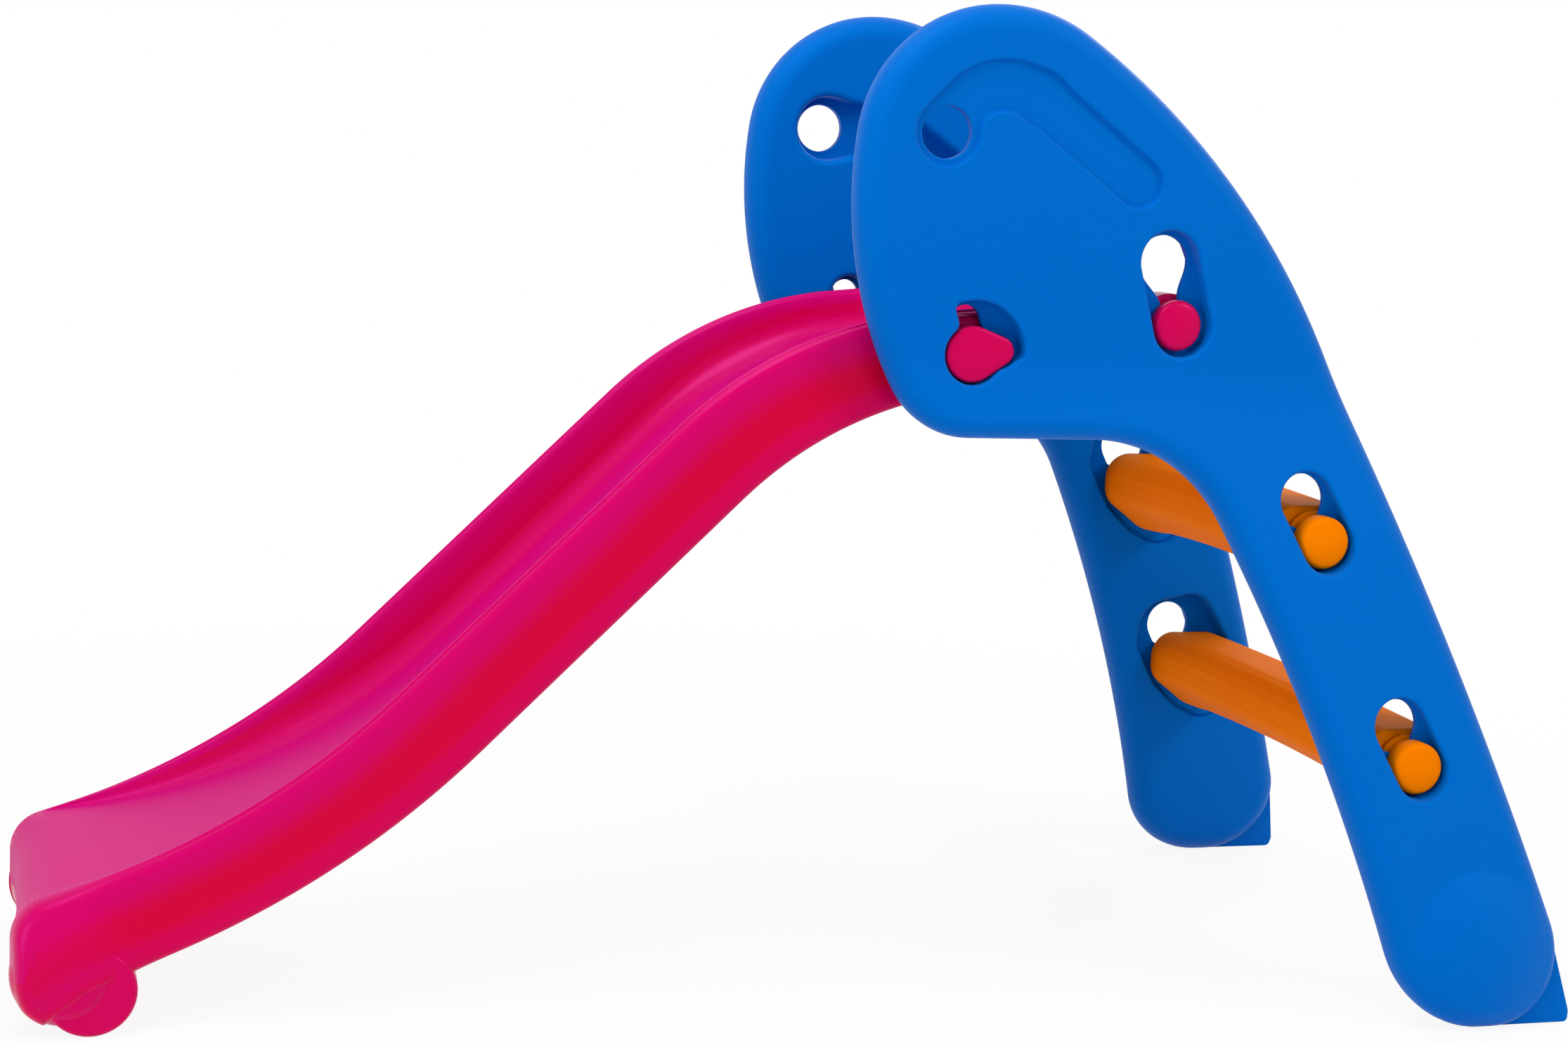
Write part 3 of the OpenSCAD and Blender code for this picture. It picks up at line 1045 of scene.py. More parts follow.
    @staticmethod
    def _rear_keyhole() -> Passage:
        """A rear knob's keyhole: an arc about the pivot with a wide upper end.

        Returns:
            Its wells and its hole.
        """
        slot = (Vector((0, 0)), KNOB_PITCH, KNOB_RISE, KNOB_RISE + FOLD_TRAVEL)
        rest, top = (polar(KNOB_PITCH, turn) for turn in slot[2:])
        outer = bar(rest + Vector((2.1, 0)), top + Vector((4.1, 0)), REAR_HEAD_R + 5.1)
        inner = bow(*slot, REAR_BOSS_R + POCKET_GAP + 3.2)
        hole = joined(22.0, bow(*slot, NECK_R + RUN_GAP), disc(top + Vector((6, 0)), REAR_HEAD_R - 0.4))
        return Passage(
            Well(traced(outer, top, KEYHOLE_POINTS), True, MID_Y + HALF_WEB, fillet=0.8, run=0.3),
            Well(traced(inner, top, KEYHOLE_POINTS), False, MID_Y - HALF_WEB, lip=6.0, fillet=1.2),
            traced(hole, top, KEYHOLE_POINTS))

    def _step_keyhole(self, i: int) -> Passage:
        """A step's keyhole: a leaning slot with a wide upper end.

        Args:
            i: 0 for the upper step and 1 for the lower one.

        Returns:
            Its wells and its hole.
        """
        knob = self.knob(i)
        top, web = knob + polar(STEP_TRAVEL, 90 + SLOT_LEAN), web_y(knob.y)
        outer = bar(knob + Vector((1.5, -1.5)), top + Vector((1.2, 0.9)), HEAD_R + POCKET_GAP)
        sweep = [knob + Vector(c) for c in ((-12, -9), (10, -29), (28, -38), (16, 14))]
        sweep += [top + Vector(c) for c in ((12, 10), (-14, 4), (-14, -12))]
        hole = joined(10.0, bar(knob, top, NECK_R + RUN_GAP), disc(top, HEAD_R + 0.5))
        return Passage(
            Well(traced(outer, knob, KEYHOLE_POINTS), True, web + HALF_WEB, fillet=0.6, run=0.3),
            Well(traced(plate(sweep, 28.0), knob, 140), False, web - HALF_WEB, lip=4.0, draft=1.0),
            traced(within(hole, outer, 2.2), top, KEYHOLE_POINTS))

    def _swell(self, skin: Skin) -> None:
        """Cuts a finer patch of mesh on the outside of the heel and raises the round dome there.

        Args:
            skin: The panel's mesh, before it is bent.
        """
        (low_x, high_x), (low_z, high_z) = (
            (self.dome[i] + low, self.dome[i] + high) for i, low, high in self.dome_patch)
        for axis, low, high in ((0, low_x, high_x), (2, low_z, high_z)):
            for i in range(self.dome_cuts + 1):
                cut = low + (high - low) * i / self.dome_cuts
                faces = [
                    f for f in skin.mesh.faces
                    if f.calc_center_median().y > 3 and f.calc_center_median().z < high_z + 40
                    and min(v.co[axis] for v in f.verts) < cut < max(v.co[axis] for v in f.verts)
                    and max(v.co.x for v in f.verts) > low_x and min(v.co.z for v in f.verts) < high_z]
                around = dict.fromkeys(part for f in faces for part in (*f.verts, *f.edges))
                normal = Vector((axis == 0, 0, axis == 2))
                bmesh.ops.bisect_plane(
                    skin.mesh, geom=faces + list(around), dist=0.01, plane_co=normal * cut, plane_no=normal)
        ball = (self.dome_r ** 2 + self.dome_h ** 2) / (2 * self.dome_h)  # radius of the dome's ball
        for vert in skin.mesh.verts:
            away = (Vector((vert.co.x, vert.co.z)) - self.dome).length
            if vert.co.y <= 2.5 or away > self.dome_r + 12:
                continue
            cap = math.sqrt(ball * ball - away * away) - (ball - self.dome_h)
            raised = (cap + math.sqrt(cap * cap + 0.3)) / 2 * smooth((self.dome_r + 10 - away) / 8)
            vert.co.y += raised * smooth((vert.co.y - 2) / 14)

    def _bent(self, skin: Skin) -> None:
        """Takes a mesh from panel depth to its place across the slide."""
        for vert in skin.mesh.verts:
            vert.co.y = self.side.value * (leg_mid(vert.co.z) + vert.co.y * leg_spread(vert.co.z))

    def body(self) -> bpy.types.Object:
        """Builds the panel's moulding: rounded edge, hand hole, keyholes, bend and dome.

        Returns:
            The piece.
        """
        skin, edge, flat = Skin(), self.edge(), HALF_T - self.edge_r
        rings = [(self.edge_r + 1.2, HALF_T)]
        rings += [(0.3 + (self.edge_r - 0.3) * (1 - rise), flat + self.edge_r * near)
                  for near, rise in quarter(10)]
        rings += [(0.3, 0.9), (0.1, 0.35), (0.1, 0.0)]
        rings += [(inset, -depth) for inset, depth in rings[-2::-1]]
        outer, inner = skin.strip([at_y(offset(edge, -inset), depth) for inset, depth in rings])
        outer_rings, inner_rings = [outer], [inner]
        for hole in (self._hand_hole(), self._front_keyhole(), self._rear_keyhole(),
                     self._step_keyhole(0), self._step_keyhole(1)):
            on_outer, on_inner = self._sunk_through(skin, hole)
            outer_rings.append(on_outer)
            inner_rings.append(on_inner)
        skin.filled(*outer_rings)
        skin.filled(*inner_rings)
        mesh = skin.mesh
        for i in range(-5, 6):
            bmesh.ops.bisect_plane(
                mesh, geom=list(mesh.verts) + list(mesh.edges) + list(mesh.faces), dist=0.01,
                plane_co=(0, 0, -BEND_DROP + i * 6.0), plane_no=(0, 0, 1))
        self._swell(skin)
        self._bent(skin)
        return skin.finished(f"{self.side.word}_panel_moulding", self.pivot, self.material)

    def toe(self) -> bpy.types.Object:
        """Builds the thin toe plate behind the heel.

        Returns:
            The piece.
        """
        heel_top = self.heel + polar(self.heel_r, bearing(self.heel - self.leg_back))
        outline = even(rounded([
            (self.heel.x, GROUND, 0), (self.toe_x - 2, GROUND, 5), (self.toe_x, GROUND + 10, 9),
            (heel_top.x, heel_top.y, 0), (self.heel.x, self.heel.y, 0)]), 120)
        profile = [(5, 1), (1.6, 1), (1.0, 0.98), (0.4, 0.86), (0, 0.62)]
        profile += [(inset, -part) for inset, part in profile[::-1]]
        skin = Skin()
        skin.shell([at_y(offset(outline, -inset), part * self.toe_t / 2) for inset, part in profile])
        self._bent(skin)
        return skin.finished(f"{self.side.word}_panel_toe", self.pivot, self.material)

    def build(self) -> None:
        """Builds both pieces, puts them on the frame and hides the plain node."""
        body = self.body()
        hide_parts(f"{self.side.word}_side_panel")
        for piece in (body, self.toe()):
            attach(piece, "frame")


# ---------------------------------------------------------------- chute


@dataclass
class Chute:
    """The pink chute: trough, side rails, exit roll, bosses and four knobs.

    The trough is one skin of cross-sections between three paths in the side view: the rim, along the
    rails' crest, the bed between the rails, and the underside. A name in _h is a height above the
    ground, but for deck_end_h, which is from the pivot. A name in _tone is how far a place is painted
    in the finish's painted-light colour, from 0 to 1: painted light, the magenta sheen that light from
    above gives the bed, rails and bosses, and a paler painted reflection along the lower edge.
    """

    material: bpy.types.Material
    pivot: Vector
    slope: float = 44.6
    deck_rise: float = 6.0
    exit_rise: float = 18.0
    rail_w: float = 14.0
    bed_depth: float = 58.0
    deck_depth: float = 42.0
    rim_low_h: float = 176.0
    under_low_h: float = 121.0
    deck_end_h: float = 8.0
    roll_r: float = 39.0
    roll_back: float = 141.0
    roll_out: float = 12.0
    # Painted light: how far the roll is painted in the finish's painted-light colour.
    roll_tone: float = 0.4
    exit_r: float = 46.5
    exit_back: float = 21.0
    exit_lift: float = 5.0
    exit_out: float = 18.0
    hill_r: float = 58.0
    boss_flat: float = 22.0
    boss_sink: float = 1.3
    # Painted light: how far the bosses, knobs, side wall, lower edge and underside are painted in the finish's
    # painted-light colour.
    boss_tone: float = 0.45
    knob_tone: float = 0.3
    wall_tone: float = 0.62
    keel_tone: float = 0.3
    under_tone: float = 0.1
    wall_hollow: float = 1.3
    wall_points: int = 13
    full_depth: float = 34.0
    bed_fillet: float = 30.0
    closing: int = 14
    waist: float = 6.0
    rim_top: Vector = field(default_factory=lambda: Vector((-157, 19)))
    under_top: Vector = field(default_factory=lambda: Vector((-102, -50)))
    stations: int = 190

    # Across a rail, as (distance in from the side, drop): its crest, the flat lip of the exit that
    # the crest runs out into, and the rounded lower edge
    REACH = 12.5
    CREST = (
        (14.0, 8.0), (13.6, 5.0), (12.6, 3.0), (11.4, 2.2), (10.6, 2.4), (9.9, 1.5), (9.2, 0.4), (8.1, 0.0),
        (7.0, 0.2), (6.4, 1.2), (5.8, 2.9), (5.2, 2.8), (4.0, 2.6), (2.4, 3.7), (1.0, 6.2), (0.3, 9.4),
        (0.0, REACH))
    LIP = (
        (14.0, 0.0), (13.5, 0.0), (13.0, 0.0), (12.5, 0.0), (12.0, 0.0), (11.4, 0.1), (10.6, 0.2), (9.6, 0.4),
        (8.4, 0.75), (7.2, 1.2), (6.0, 1.8), (4.8, 2.6), (3.6, 3.7), (2.4, 5.1), (1.2, 7.2), (0.4, 9.6),
        (0.0, REACH))
    KEEL = tuple((5.5 * (1 - rise), 9.0 * (1 - near)) for near, rise in quarter(16))

    def __post_init__(self) -> None:
        """Works out the side view's main points."""
        self.rim_low = self._down_slope(self.rim_top, self.rim_low_h)
        self.under_low = self._down_slope(self.under_top, self.under_low_h)
        self.roll = Vector((self.rim_low.x - self.roll_back, GROUND + self.roll_r))
        self.exit = Vector((self.roll.x - self.exit_back, GROUND + self.exit_r + self.exit_lift))
        self.rear_x = polar(KNOB_PITCH, KNOB_RISE).x + REAR_BOSS_R
        self.lip_x = self.exit.x - self.exit_r + 2

    def _down_slope(self, top: Vector, height: float) -> Vector:
        """The point at a height above the ground on the slope through top."""
        return Vector((top.x - (top.y - GROUND - height) / math.tan(math.radians(self.slope)), GROUND + height))

    @staticmethod
    def _line_at(start: Vector, degrees: float, x: float) -> Vector:
        """The point at x on a line at an angle."""
        return Vector((x, start.y + (x - start.x) * math.tan(math.radians(degrees))))

    @staticmethod
    def _crossing(p: Vector, a: float, q: Vector, b: float) -> Vector:
        """Where the line through p at angle a meets the line through q at angle b."""
        u, v, w = polar(1, a), polar(1, b), q - p
        return p + u * (w.x * v.y - w.y * v.x) / (u.x * v.y - u.y * v.x)

    @staticmethod
    def _height(path: Sequence[Vector], x: float) -> float:
        """Height of a path that runs along X.

        Args:
            path: Its points.
            x: Where the height is wanted.

        Returns:
            The height, or that of the path's nearer end beyond it.
        """
        for a, b in zip(path, path[1:]):
            if a.x <= x <= b.x and b.x > a.x:
                return a.y + (b.y - a.y) * (x - a.x) / (b.x - a.x)
        return path[0].y if x < path[0].x else path[-1].y

    @staticmethod
    def _up(path: Sequence[Vector], i: int) -> Vector:
        """The upward normal of a path at one of its points."""
        run = (path[min(i + 1, len(path) - 1)] - path[max(i - 1, 0)]).normalized()
        return Vector((-run.y, run.x))

    def _paths(self) -> tuple[list[Vector], list[Vector], list[Vector]]:
        """Draws the trough in the side view, from the exit to the deck's end.

        Returns:
            The paths of the rim, the underside and the bed.
        """
        lip_top = self._line_at(self.rim_low, self.exit_rise, self.lip_x)
        rim_end = self._line_at(self.rim_top, self.deck_rise, self.rear_x)
        under_end = self._line_at(self.under_top, self.deck_rise, self.rear_x)
        end = (self.rear_x, self.deck_end_h, 0)
        rim = rounded([
            (self.lip_x, self.exit.y, 0), (*lip_top, 36), (*self.rim_low, 680), (*self.rim_top, 369),
            (*rim_end, 34), end], closed=False)
        under = arc(self.exit, self.exit_r - 2, 180, 248, 3)
        under += rounded([
            (*self.roll, 0), (*self.under_low, 797), (*self.under_top, 350), (*under_end, 20), end],
            closed=False)
        bed_start = self._line_at(self.rim_low, self.exit_rise, self.lip_x + 30)
        slope_p = self.rim_low + polar(self.bed_depth, self.slope - 90)
        deck_p = self.rim_top - Vector((0, self.deck_depth))
        low = self._crossing(bed_start, 8, slope_p, self.slope)
        top = self._crossing(deck_p, self.deck_rise, slope_p, self.slope)
        deck_end = self._line_at(top, self.deck_rise, self.rear_x)
        bed = rounded([(*bed_start, 0), (*low, 600), (*top, 330), (*deck_end, 8), end], closed=False)
        return rim, under, bed

    def _beds(self, bed: Sequence[Vector], rims: Sequence[Vector]) -> list[Vector]:
        """The bed's points below the rim's: straight below them, and evenly spaced round the deck's end.

        Args:
            bed: The bed's path.
            rims: The rim's points.

        Returns:
            One point for each of the rim's, never above it.
        """
        turn_x = self.rear_x - 9
        last = next(i for i, p in enumerate(rims) if p.x > turn_x)
        tail = [Vector((turn_x, self._height(bed, turn_x)))] + [p for p in bed if p.x >= turn_x]
        tail_parts = [(i - last) / (len(rims) - 1 - last) for i in range(last, len(rims))]
        beds = []
        for i, p in enumerate(rims[:last]):
            on_lip = p.x <= bed[0].x or i < 8
            beds.append(p.copy() if on_lip else Vector((p.x, min(p.y, self._height(bed, p.x)))))
        return beds + along(tail, tail_parts)

    def _hill(self, away: float) -> float:
        """Height of the side wall's smooth swelling, at a distance from the exit boss's middle."""
        return self.exit_out * math.exp(-((away / self.hill_r) ** 3.0))

    def _section(self, rim: Vector, rim_up: Vector, bed: Vector, under: Vector, under_up: Vector,
                 ends: float) -> list[tuple[Vector, float]]:
        """Half of one cross-section, from the bed's middle round to the underside's middle.

        Args:
            rim: The rim's point.
            rim_up: Its upward normal.
            bed: The bed's point.
            under: The underside's point.
            under_up: Its upward normal.
            ends: 1 at the slide's two ends, where the section closes, and 0 away from them.

        Returns:
            Each point, in millimetres, and its painted light.
        """

        def hill(p: Vector) -> float:
            """The side wall's swelling at a point."""
            return self._hill((p - self.exit).length)

        depth = max(0.0, rim.y - bed.y)
        open_by = smooth(depth / self.full_depth)
        inner_y = SIDE_Y - self.rail_w - 1.5 * open_by
        fillet = min(self.bed_fillet, depth * 0.62)
        # The bed is painted fully in the painted-light colour, the magenta of an upward face under top light,
        # and the fillet fades it towards the walls.
        points = [(Vector((bed.x, (inner_y - fillet) * part, bed.y)), 1.0) for part in (0.0, 0.4, 0.8)]
        for i, (near, rise) in enumerate(quarter(5)):
            place = Vector((bed.x, inner_y - fillet * (1 - rise), bed.y + fillet * (1 - near)))
            points.append((place, 1.0 - 0.75 * open_by * i / 5))
        for (lip_w, lip_drop), (crest_w, crest_drop) in zip(self.LIP, self.CREST):
            w = lip_w + (crest_w - lip_w) * open_by
            p = rim - rim_up * min(lip_drop + (crest_drop - lip_drop) * open_by, self.REACH)
            # Painted sheen: the rail's crest is painted further towards the magenta that top light gives it.
            tone = self.wall_tone + 0.3 * smooth((w - 5) / 5) * (1 - 0.4 * open_by)
            points.append((Vector((p.x, SIDE_Y - w + hill(p) * smooth(1 - w / 12), p.y)), tone))
        start, end = rim - rim_up * self.REACH, under + under_up * (self.REACH + 0.5 * (1 - ends))
        for i in range(1, self.wall_points):
            t = i / self.wall_points
            p = start.lerp(end, t)
            swollen = hill(p) / self.exit_out
            hollow = self.wall_hollow * (1 - (2 * t - 1) ** 2) * (1 - ends) * (1 - swollen)
            # Painted light on the side wall: a magenta band of painted sheen under the rail, a paler painted
            # reflection towards the lower edge, and more on the swelling round the exit boss.
            tone = self.wall_tone * smooth(1 - t * 1.9) + self.keel_tone * smooth((t - 0.7) / 0.3)
            tone = min(self.wall_tone, tone + 0.25 * swollen)
            points.append((Vector((p.x, SIDE_Y - hollow + hill(p), p.y)), tone))
        # The rounded lower edge keeps a painted reflection, and the underside a little painted light.
        for (lip_w, lip_drop), (keel_w, keel_drop) in zip(self.LIP[::-1], self.KEEL[::-1]):
            w = keel_w + (lip_w - keel_w) * ends
            p = under + under_up * (keel_drop + (lip_drop - keel_drop) * ends)
            place = Vector((p.x, SIDE_Y - w + hill(p) * smooth(1 - w / 12), p.y))
            points.append((place, self.keel_tone))
        for part in (*[1.0] * 6, 0.8, 0.4, 0.0):
            points.append((Vector((under.x, inner_y * part, under.y)), self.under_tone))
        return points

    def body(self) -> bpy.types.Object:
        """Builds the trough: bed, rails, sides and underside in one closed skin.

        Returns:
            The piece.
        """
        rim, under, bed = self._paths()
        parts = [0.0]
        for i in range(self.stations):
            fine_exit, fine_deck = smooth((i - 26) / 26), smooth((i - self.stations + 34) / 20)
            parts.append(parts[-1] + 2.2 + 5.6 * fine_exit * (1 - fine_deck))
        parts = [part / parts[-1] for part in parts]
        rims, unders = along(rim, parts), along(under, parts)
        beds = self._beds(bed, rims)
        last = len(rims) - 1
        skin = Skin()
        ring: Ring = []
        for i in range(last + 1):
            ends = 1 - smooth(i / self.closing) * smooth((last - i) / self.closing)
            rim_up = self._up(rims, i)
            under_up = -rim_up if i in (0, last) else self._up(unders, i)
            half = self._section(rims[i], rim_up, beds[i], unders[i], under_up, ends)
            half += [(Vector((p.x, -p.y, p.z)), tone) for p, tone in half[-2:0:-1]]
            for place, _ in half:
                middle = 1 - smooth((abs(place.y) - 90) / 55)
                place.x += self.waist * middle * smooth((self.exit.x + 4 - place.x) / 34)
            places = [place for place, _ in half]
            ring = skin.grown(ring, places) if ring else skin.ring(places)
            # Each point keeps its painted light.
            for vert, (_, tone) in zip(ring, half):
                vert[skin.tone] = tone
        return skin.finished("chute_trough", self.pivot, self.material)

    def roller(self) -> bpy.types.Object:
        """Builds the round roll under the exit.

        Returns:
            The piece.
        """
        end, edge = SIDE_Y + self.roll_out, 5.0
        profile = [(0.0, -end)] + [
            (self.roll_r - edge * (1 - near), -end + edge * (1 - rise)) for near, rise in quarter(6)[::-1]]
        profile += [(r, -y) for r, y in profile[::-1]]
        skin = Skin()
        skin.turned(profile, self.roll)
        # The whole roll is painted part way towards the painted-light colour.
        return skin.finished("chute_roll", self.pivot, self.material, self.roll_tone)

    def boss(self, side: Side) -> bpy.types.Object:
        """Builds the round boss at one side of the exit.

        Args:
            side: The side.

        Returns:
            The piece.
        """
        root, foot, soft = SIDE_Y - 14, SIDE_Y - 9, self.exit_r - self.boss_flat - 1.2
        rise_by = self._hill(self.boss_flat) - self.boss_sink + 9
        profile = [(0.0, root), (self.exit_r - 1.2, root)]
        profile += [(self.boss_flat + soft * near, foot + rise_by * rise) for near, rise in quarter(9)[:-1]]
        for part in (1.0, 0.8, 0.6, 0.4, 0.2, 0.0):
            radius = self.boss_flat * part
            profile.append((radius, SIDE_Y + self._hill(radius) - self.boss_sink))
        skin = Skin()
        skin.turned(profile, self.exit, side.value, 96)
        # The whole boss is painted part way towards the painted-light colour.
        return skin.finished(f"chute_exit_boss_{side.word}", self.pivot, self.material, self.boss_tone)

    def pivot_knob(self, side: Side) -> bpy.types.Object:
        """Builds a front knob: boss, neck and teardrop head.

        Args:
            side: The side.

        Returns:
            The piece.
        """
        web_in, web_out = web_faces(MID_Y)
        turn = math.degrees(math.acos((PIVOT_R - TIP_R) / TIP_D))
        origin, tip = Vector((0, 0)), polar(TIP_D, REST_TURN)
        outline = even(
            arc(origin, PIVOT_R, REST_TURN + turn, REST_TURN + 360 - turn)
            + arc(tip, TIP_R, REST_TURN - turn, REST_TURN + turn), 140)
        skin = Skin()
        skin.turned([
            (0.0, SIDE_Y - BOSS_ROOT), (PIVOT_BOSS_R, SIDE_Y - BOSS_ROOT), (PIVOT_BOSS_R, web_in - 1.5),
            (PIVOT_BOSS_R - 1.5, web_in), (0.0, web_in)], origin, side.value)
        skin.turned([
            (0.0, web_in - 2), (PIVOT_R, web_in - 2), (PIVOT_R, web_out + 2), (0.0, web_out + 2)],
            origin, side.value)
        skin.shell(pebble(outline, side.value * web_out, side.value * (web_out + HEAD_T), 3.2, 0.8))
        # The whole knob is painted part way towards the painted-light colour.
        return skin.finished(f"chute_front_knob_{side.word}", self.pivot, self.material, self.knob_tone)

    def rear_knob(self, side: Side) -> bpy.types.Object:
        """Builds a rear knob: boss, neck and round head.

        Args:
            side: The side.

        Returns:
            The piece.
        """
        web_in, web_out = web_faces(MID_Y)
        skin = Skin()
        skin.stacked((
            (REAR_BOSS_R, SIDE_Y - BOSS_ROOT, web_in, 2.0, 0.0), (NECK_R, web_in - 3, web_out + 4, 0.5, 0.0),
            (REAR_HEAD_R, web_out, web_out + HEAD_T, 6.0, 1.6)), polar(KNOB_PITCH, KNOB_RISE), side.value)
        # The whole knob is painted part way towards the painted-light colour.
        return skin.finished(f"chute_rear_knob_{side.word}", self.pivot, self.material, self.knob_tone)

    def build(self) -> None:
        """Builds every piece of the chute, puts it on its body and hides the plain node."""
        body = self.body()
        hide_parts("chute")
        pieces = [body, self.roller()]
        for side in Side:
            pieces += [self.boss(side), self.pivot_knob(side), self.rear_knob(side)]
        for piece in pieces:
            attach(piece, "chute")


# ---------------------------------------------------------------- steps


@dataclass
class Step:
    """One orange step: a ribbed tread with a collar, neck and head at each end."""

    name: str
    knob: Vector
    material: bpy.types.Material
    pivot: Vector
    rib_pitch: float = 10.0
    rib_h: float = 0.45
    ribbed: float = 96.0
    smooth_end: float = 30.0
    end_r: float = 3.5
    end_run: float = 4.0
    collar_t: float = 6.0
    head_t: float = HEAD_T + 6
    flash: bool = False

    def __post_init__(self) -> None:
        """Works out where the tread ends."""
        self.end_y = web_faces(web_y(self.knob.y))[0] - self.collar_t

    def _crown(self, y: float) -> float:
        """How much of the tread's crown there is at a distance along it: 1 in the middle, 0 at the ends."""
        return 1 - (y / self.end_y) ** 2

    def tread(self) -> bpy.types.Object:
        """Builds the tread, with ribs along its top and front that run out before its ends.

        Returns:
            The piece.
        """
        corners = [(-40, 30, 26), (-40, -18, 30), (4, -56, 40), (44, -58, 16), (34, 30, 12)]
        outline = even(rounded(corners), 300)
        spans = [-self.end_y, -self.end_y + 0.6, -self.end_y + 2.0, -self.end_y + self.end_run]
        spans += [-self.end_y + self.end_run + self.smooth_end * t for t in (0.4, 0.8, 0.9, 1.0, 1.1, 1.3)]
        spans += [-self.end_y * t for t in (0.74, 0.68, 0.6, 0.5, 0.4, 0.3, 0.2, 0.1)] + [0.0]
        spans += [-y for y in spans[-2::-1]]
        pitch = sum((b - a).length for a, b in zip(outline, outline[1:])) / len(outline)
        top = next(i for i, p in enumerate(outline) if p.x < 30 and p.y > 29.9)
        rings = []
        for y in spans:
            inside, crown = self.end_y - abs(y), self._crown(y)
            near_end = 1 - min(inside, self.end_run) / self.end_run
            squeeze = self.end_r * (1 - math.sqrt(max(0.0, 1 - near_end ** 2)))
            fade = smooth((inside - self.smooth_end * 0.8) / (self.smooth_end * 0.5))
            smaller, place = offset(outline, -squeeze), []
            for i, p in enumerate(offset(outline, -squeeze - HAIR)):
                run = ((i - top) % len(outline)) * pitch
                rib = 0.0
                if run < self.ribbed:
                    swing = 0.5 - 0.5 * math.cos(math.tau * run / self.rib_pitch)
                    rib = -self.rib_h * (1 - swing ** 0.7) * smooth(run / 4) * smooth((self.ribbed - run) / 8)
                out = (p - smaller[i]).normalized() * -1
                under = smooth((-8 - p.y) / 45)
                raised = 3.0 * crown + under * (4 + 1.2 * smooth((inside - 38) / 4) + 4.5 * crown)
                place.append(p + out * rib * fade + Vector((0, raised)))
            rings.append([Vector((self.knob.x + p.x, y, self.knob.y + p.y)) for p in place])
        skin = Skin()
        skin.shell(rings)
        return skin.finished(f"{self.name}_tread", self.pivot, self.material)

    def end(self, side: Side) -> bpy.types.Object:
        """Builds the collar, neck and head at one end.

        Args:
            side: The end's side.

        Returns:
            The piece.
        """
        web_in, web_out = web_faces(web_y(self.knob.y))
        skin = Skin()
        skin.stacked((
            (HEAD_R + 2, self.end_y - 4, web_in, 2.5, 0.0), (NECK_R, web_in - 3, web_out + 4, 0.5, 0.0),
            (HEAD_R, web_out, web_out + self.head_t, 5.5, 2.0)), self.knob, side.value)
        if self.flash and side is Side.NEAR:
            centre = self.knob + Vector((2, -HEAD_R + 0.5))
            tab = even([centre + Vector(c) for c in ((-4, 2), (-1.4, -2.6), (1.0, -2.4), (4.5, 2))], 16)
            skin.shell([at_y(tab, side.value * (web_out + rise)) for rise in (0, 4.5, 9)])
        return skin.finished(f"{self.name}_knob_{side.word}", self.pivot, self.material)

    def build(self) -> None:
        """Builds the tread and both ends, puts them on the step's body and hides the plain node."""
        tread = self.tread()
        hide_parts(self.name)
        for piece in (tread, self.end(Side.NEAR), self.end(Side.FAR)):
            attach(piece, self.name)


# ---------------------------------------------------------------- studio


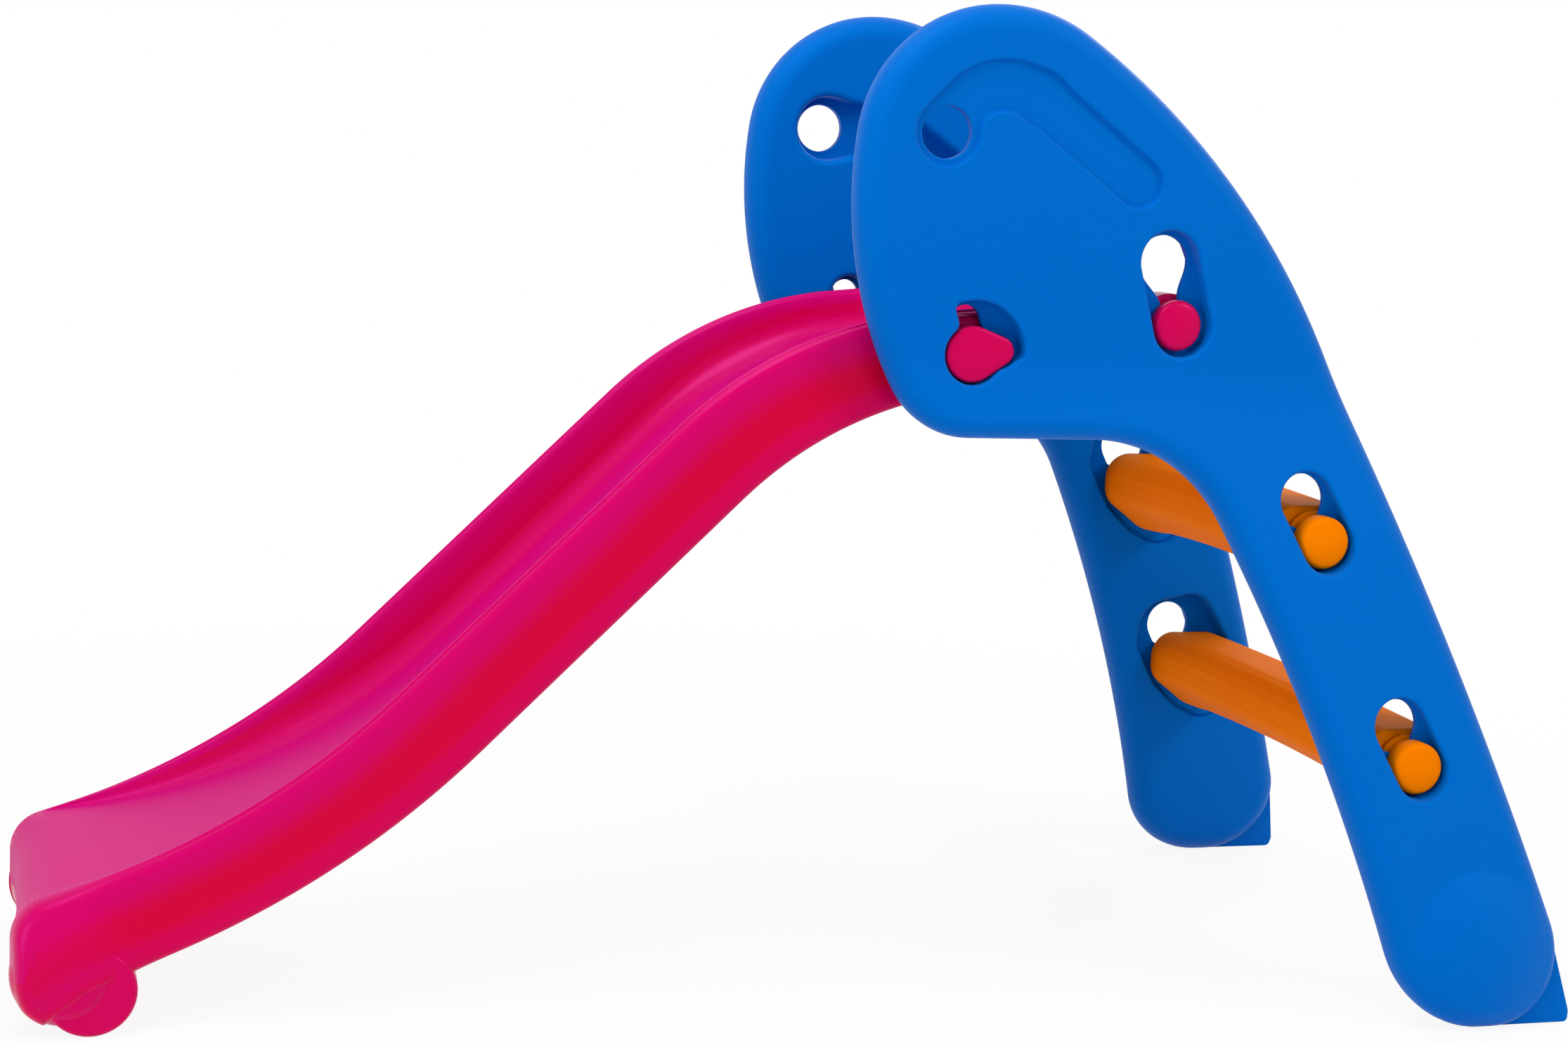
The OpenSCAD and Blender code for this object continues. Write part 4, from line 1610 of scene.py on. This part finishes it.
@dataclass
class Studio:
    """Camera, floor, backdrop and soft lamps."""

    eye: Vector = field(default_factory=lambda: Vector((-0.69382, -2.3978, 0.7738)))
    yaw: float = 16.314
    dip: float = 8.126
    roll: float = 2.650
    lens: float = 61.347
    room: float = 0.5
    floor_glow: float = 0.9
    floor_drop: float = 0.0005

    def camera(self) -> None:
        """Places the camera and makes it the scene's."""
        yaw, dip, roll = (math.radians(a) for a in (self.yaw, self.dip, self.roll))
        ahead = Vector((math.sin(yaw) * math.cos(dip), math.cos(yaw) * math.cos(dip), -math.sin(dip)))
        right = Vector((math.cos(yaw), -math.sin(yaw), 0))
        down = ahead.cross(right)
        across = right * math.cos(roll) - down * math.sin(roll)
        below = right * math.sin(roll) + down * math.cos(roll)
        turn = Matrix((across, -below, -ahead)).transposed().to_4x4()
        data = bpy.data.cameras.new("camera")
        data.lens, data.sensor_width, data.clip_end = self.lens, 36.0, 50.0
        camera = bpy.data.objects.new("camera", data)
        camera.matrix_world = Matrix.Translation(self.eye) @ turn
        bpy.context.scene.collection.objects.link(camera)
        bpy.context.scene.camera = camera

    @staticmethod
    def lamp(name: str, place: Sequence[float], aim: Sequence[float], size: float, power: float) -> None:
        """Adds a square soft lamp.

        Args:
            name: Its name.
            place: Where it is.
            aim: The point it faces.
            size: Its side, in metres.
            power: Its power, in watts.
        """
        data = bpy.data.lights.new(name, "AREA")
        data.size, data.energy = size, power
        lamp = bpy.data.objects.new(name, data)
        lamp.location = place
        lamp.rotation_euler = (Vector(aim) - Vector(place)).to_track_quat("-Z", "Y").to_euler()
        bpy.context.scene.collection.objects.link(lamp)

    def floor(self) -> None:
        """Lays a pale floor that keeps a soft shadow and fades into the backdrop."""
        board = Board.material("floor_pale")
        place = board.add("ShaderNodeTexCoord", {}, {})[3]
        away = board.add("ShaderNodeVectorMath", {"operation": "LENGTH"}, {0: place})[1]
        far = board.add(
            "ShaderNodeMapRange", {"interpolation_type": "SMOOTHSTEP"},
            {"Value": away, "From Min": 0.8, "From Max": 1.9, "To Min": self.floor_glow, "To Max": 1.0})[0]
        diffuse = board.add("ShaderNodeBsdfDiffuse", {}, {"Color": (0.95, 0.95, 0.95, 1)})[0]
        glow = board.add("ShaderNodeEmission", {}, {"Color": (1, 1, 1, 1), "Strength": 1.0})[0]
        material = board.done(
            board.add("ShaderNodeMixShader", {}, {0: board.seen() * far, 1: diffuse, 2: glow})[0])
        mesh = bpy.data.meshes.new("floor")
        grid = bmesh.new()
        bmesh.ops.create_grid(
            grid, x_segments=1, y_segments=1, size=12, matrix=Matrix.Translation((0, 0, -self.floor_drop)))
        grid.to_mesh(mesh)
        grid.free()
        mesh.materials.append(material)
        floor = bpy.data.objects.new("floor", mesh)
        bpy.context.scene.collection.objects.link(floor)

    def world(self) -> None:
        """Lights the room softly and shows a white backdrop."""
        bpy.context.scene.world = bpy.data.worlds.new("world")
        board = Board(bpy.context.scene.world)
        strength = board.seen() * (1.0 - self.room) + self.room
        back = board.add("ShaderNodeBackground", {}, {"Color": (1, 1, 1, 1), "Strength": strength})[0]
        board.done(back, "ShaderNodeOutputWorld")

    def build(self) -> None:
        """Builds the whole studio."""
        bpy.context.scene.view_settings.view_transform = "Standard"
        self.world()
        self.camera()
        self.lamp("key", (2.2, -2.2, 2.3), (0.2, 0, 0.45), 1.0, 30)
        self.lamp("top", (-0.7, -0.6, 2.4), (-0.1, 0, 0.3), 1.2, 25)
        self.lamp("fill", (-2.7, -2.0, 0.9), (0, 0, 0.4), 1.4, 22)
        self.lamp("back", (1.9, 1.7, 1.9), (0.35, 0, 0.35), 1.2, 15)
        self.floor()


# ---------------------------------------------------------------- the whole slide


def main() -> None:
    """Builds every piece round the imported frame."""
    logging.basicConfig(level=logging.INFO, format="%(name)s: %(message)s")
    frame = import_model()
    pivot = Vector(next(j["pos_m"] for j in frame["joints"] if j["name"] == "chute_fold"))
    blue = MouldedPlastic(
        "blue_grained_plastic", srgb(0, 104, 198), srgb(0, 100, 193), srgb(0, 104, 198),
        roughness=0.48, shine=0.16, tint=(0.0, 0.5, 1.0, 1.0), grain_strength=0.6).made()
    # The pink's third colour is painted light: the magenta that the red plastic shows where light falls from
    # above, painted where a piece's painted light asks for it. The blue and the orange paint none, because
    # their third colour is their own.
    pink = MouldedPlastic(
        "pink_satin_plastic", srgb(208, 0, 46), srgb(202, 0, 42), srgb(203, 0, 118),
        roughness=0.25, shine=0.31, tint=(1.0, 0.14, 0.78, 1.0), grain_strength=0.1, grain_per_m=480.0,
        rub=0.3).made()
    orange = MouldedPlastic(
        "orange_satin_plastic", srgb(246, 130, 0), srgb(241, 120, 0), srgb(246, 130, 0),
        roughness=0.5, shine=0.015, tint=(1.0, 0.55, 0.05, 1.0), grain_strength=0.2).made()
    panels = [SidePanel(side, blue, pivot) for side in Side]
    for panel in panels:
        panel.build()
    Chute(pink, pivot).build()
    for i, name in enumerate(("upper_step", "lower_step")):
        Step(name, panels[0].knob(i), orange, pivot, flash=i == 1).build()
    Studio().build()


if __name__ == "__main__":
    main()
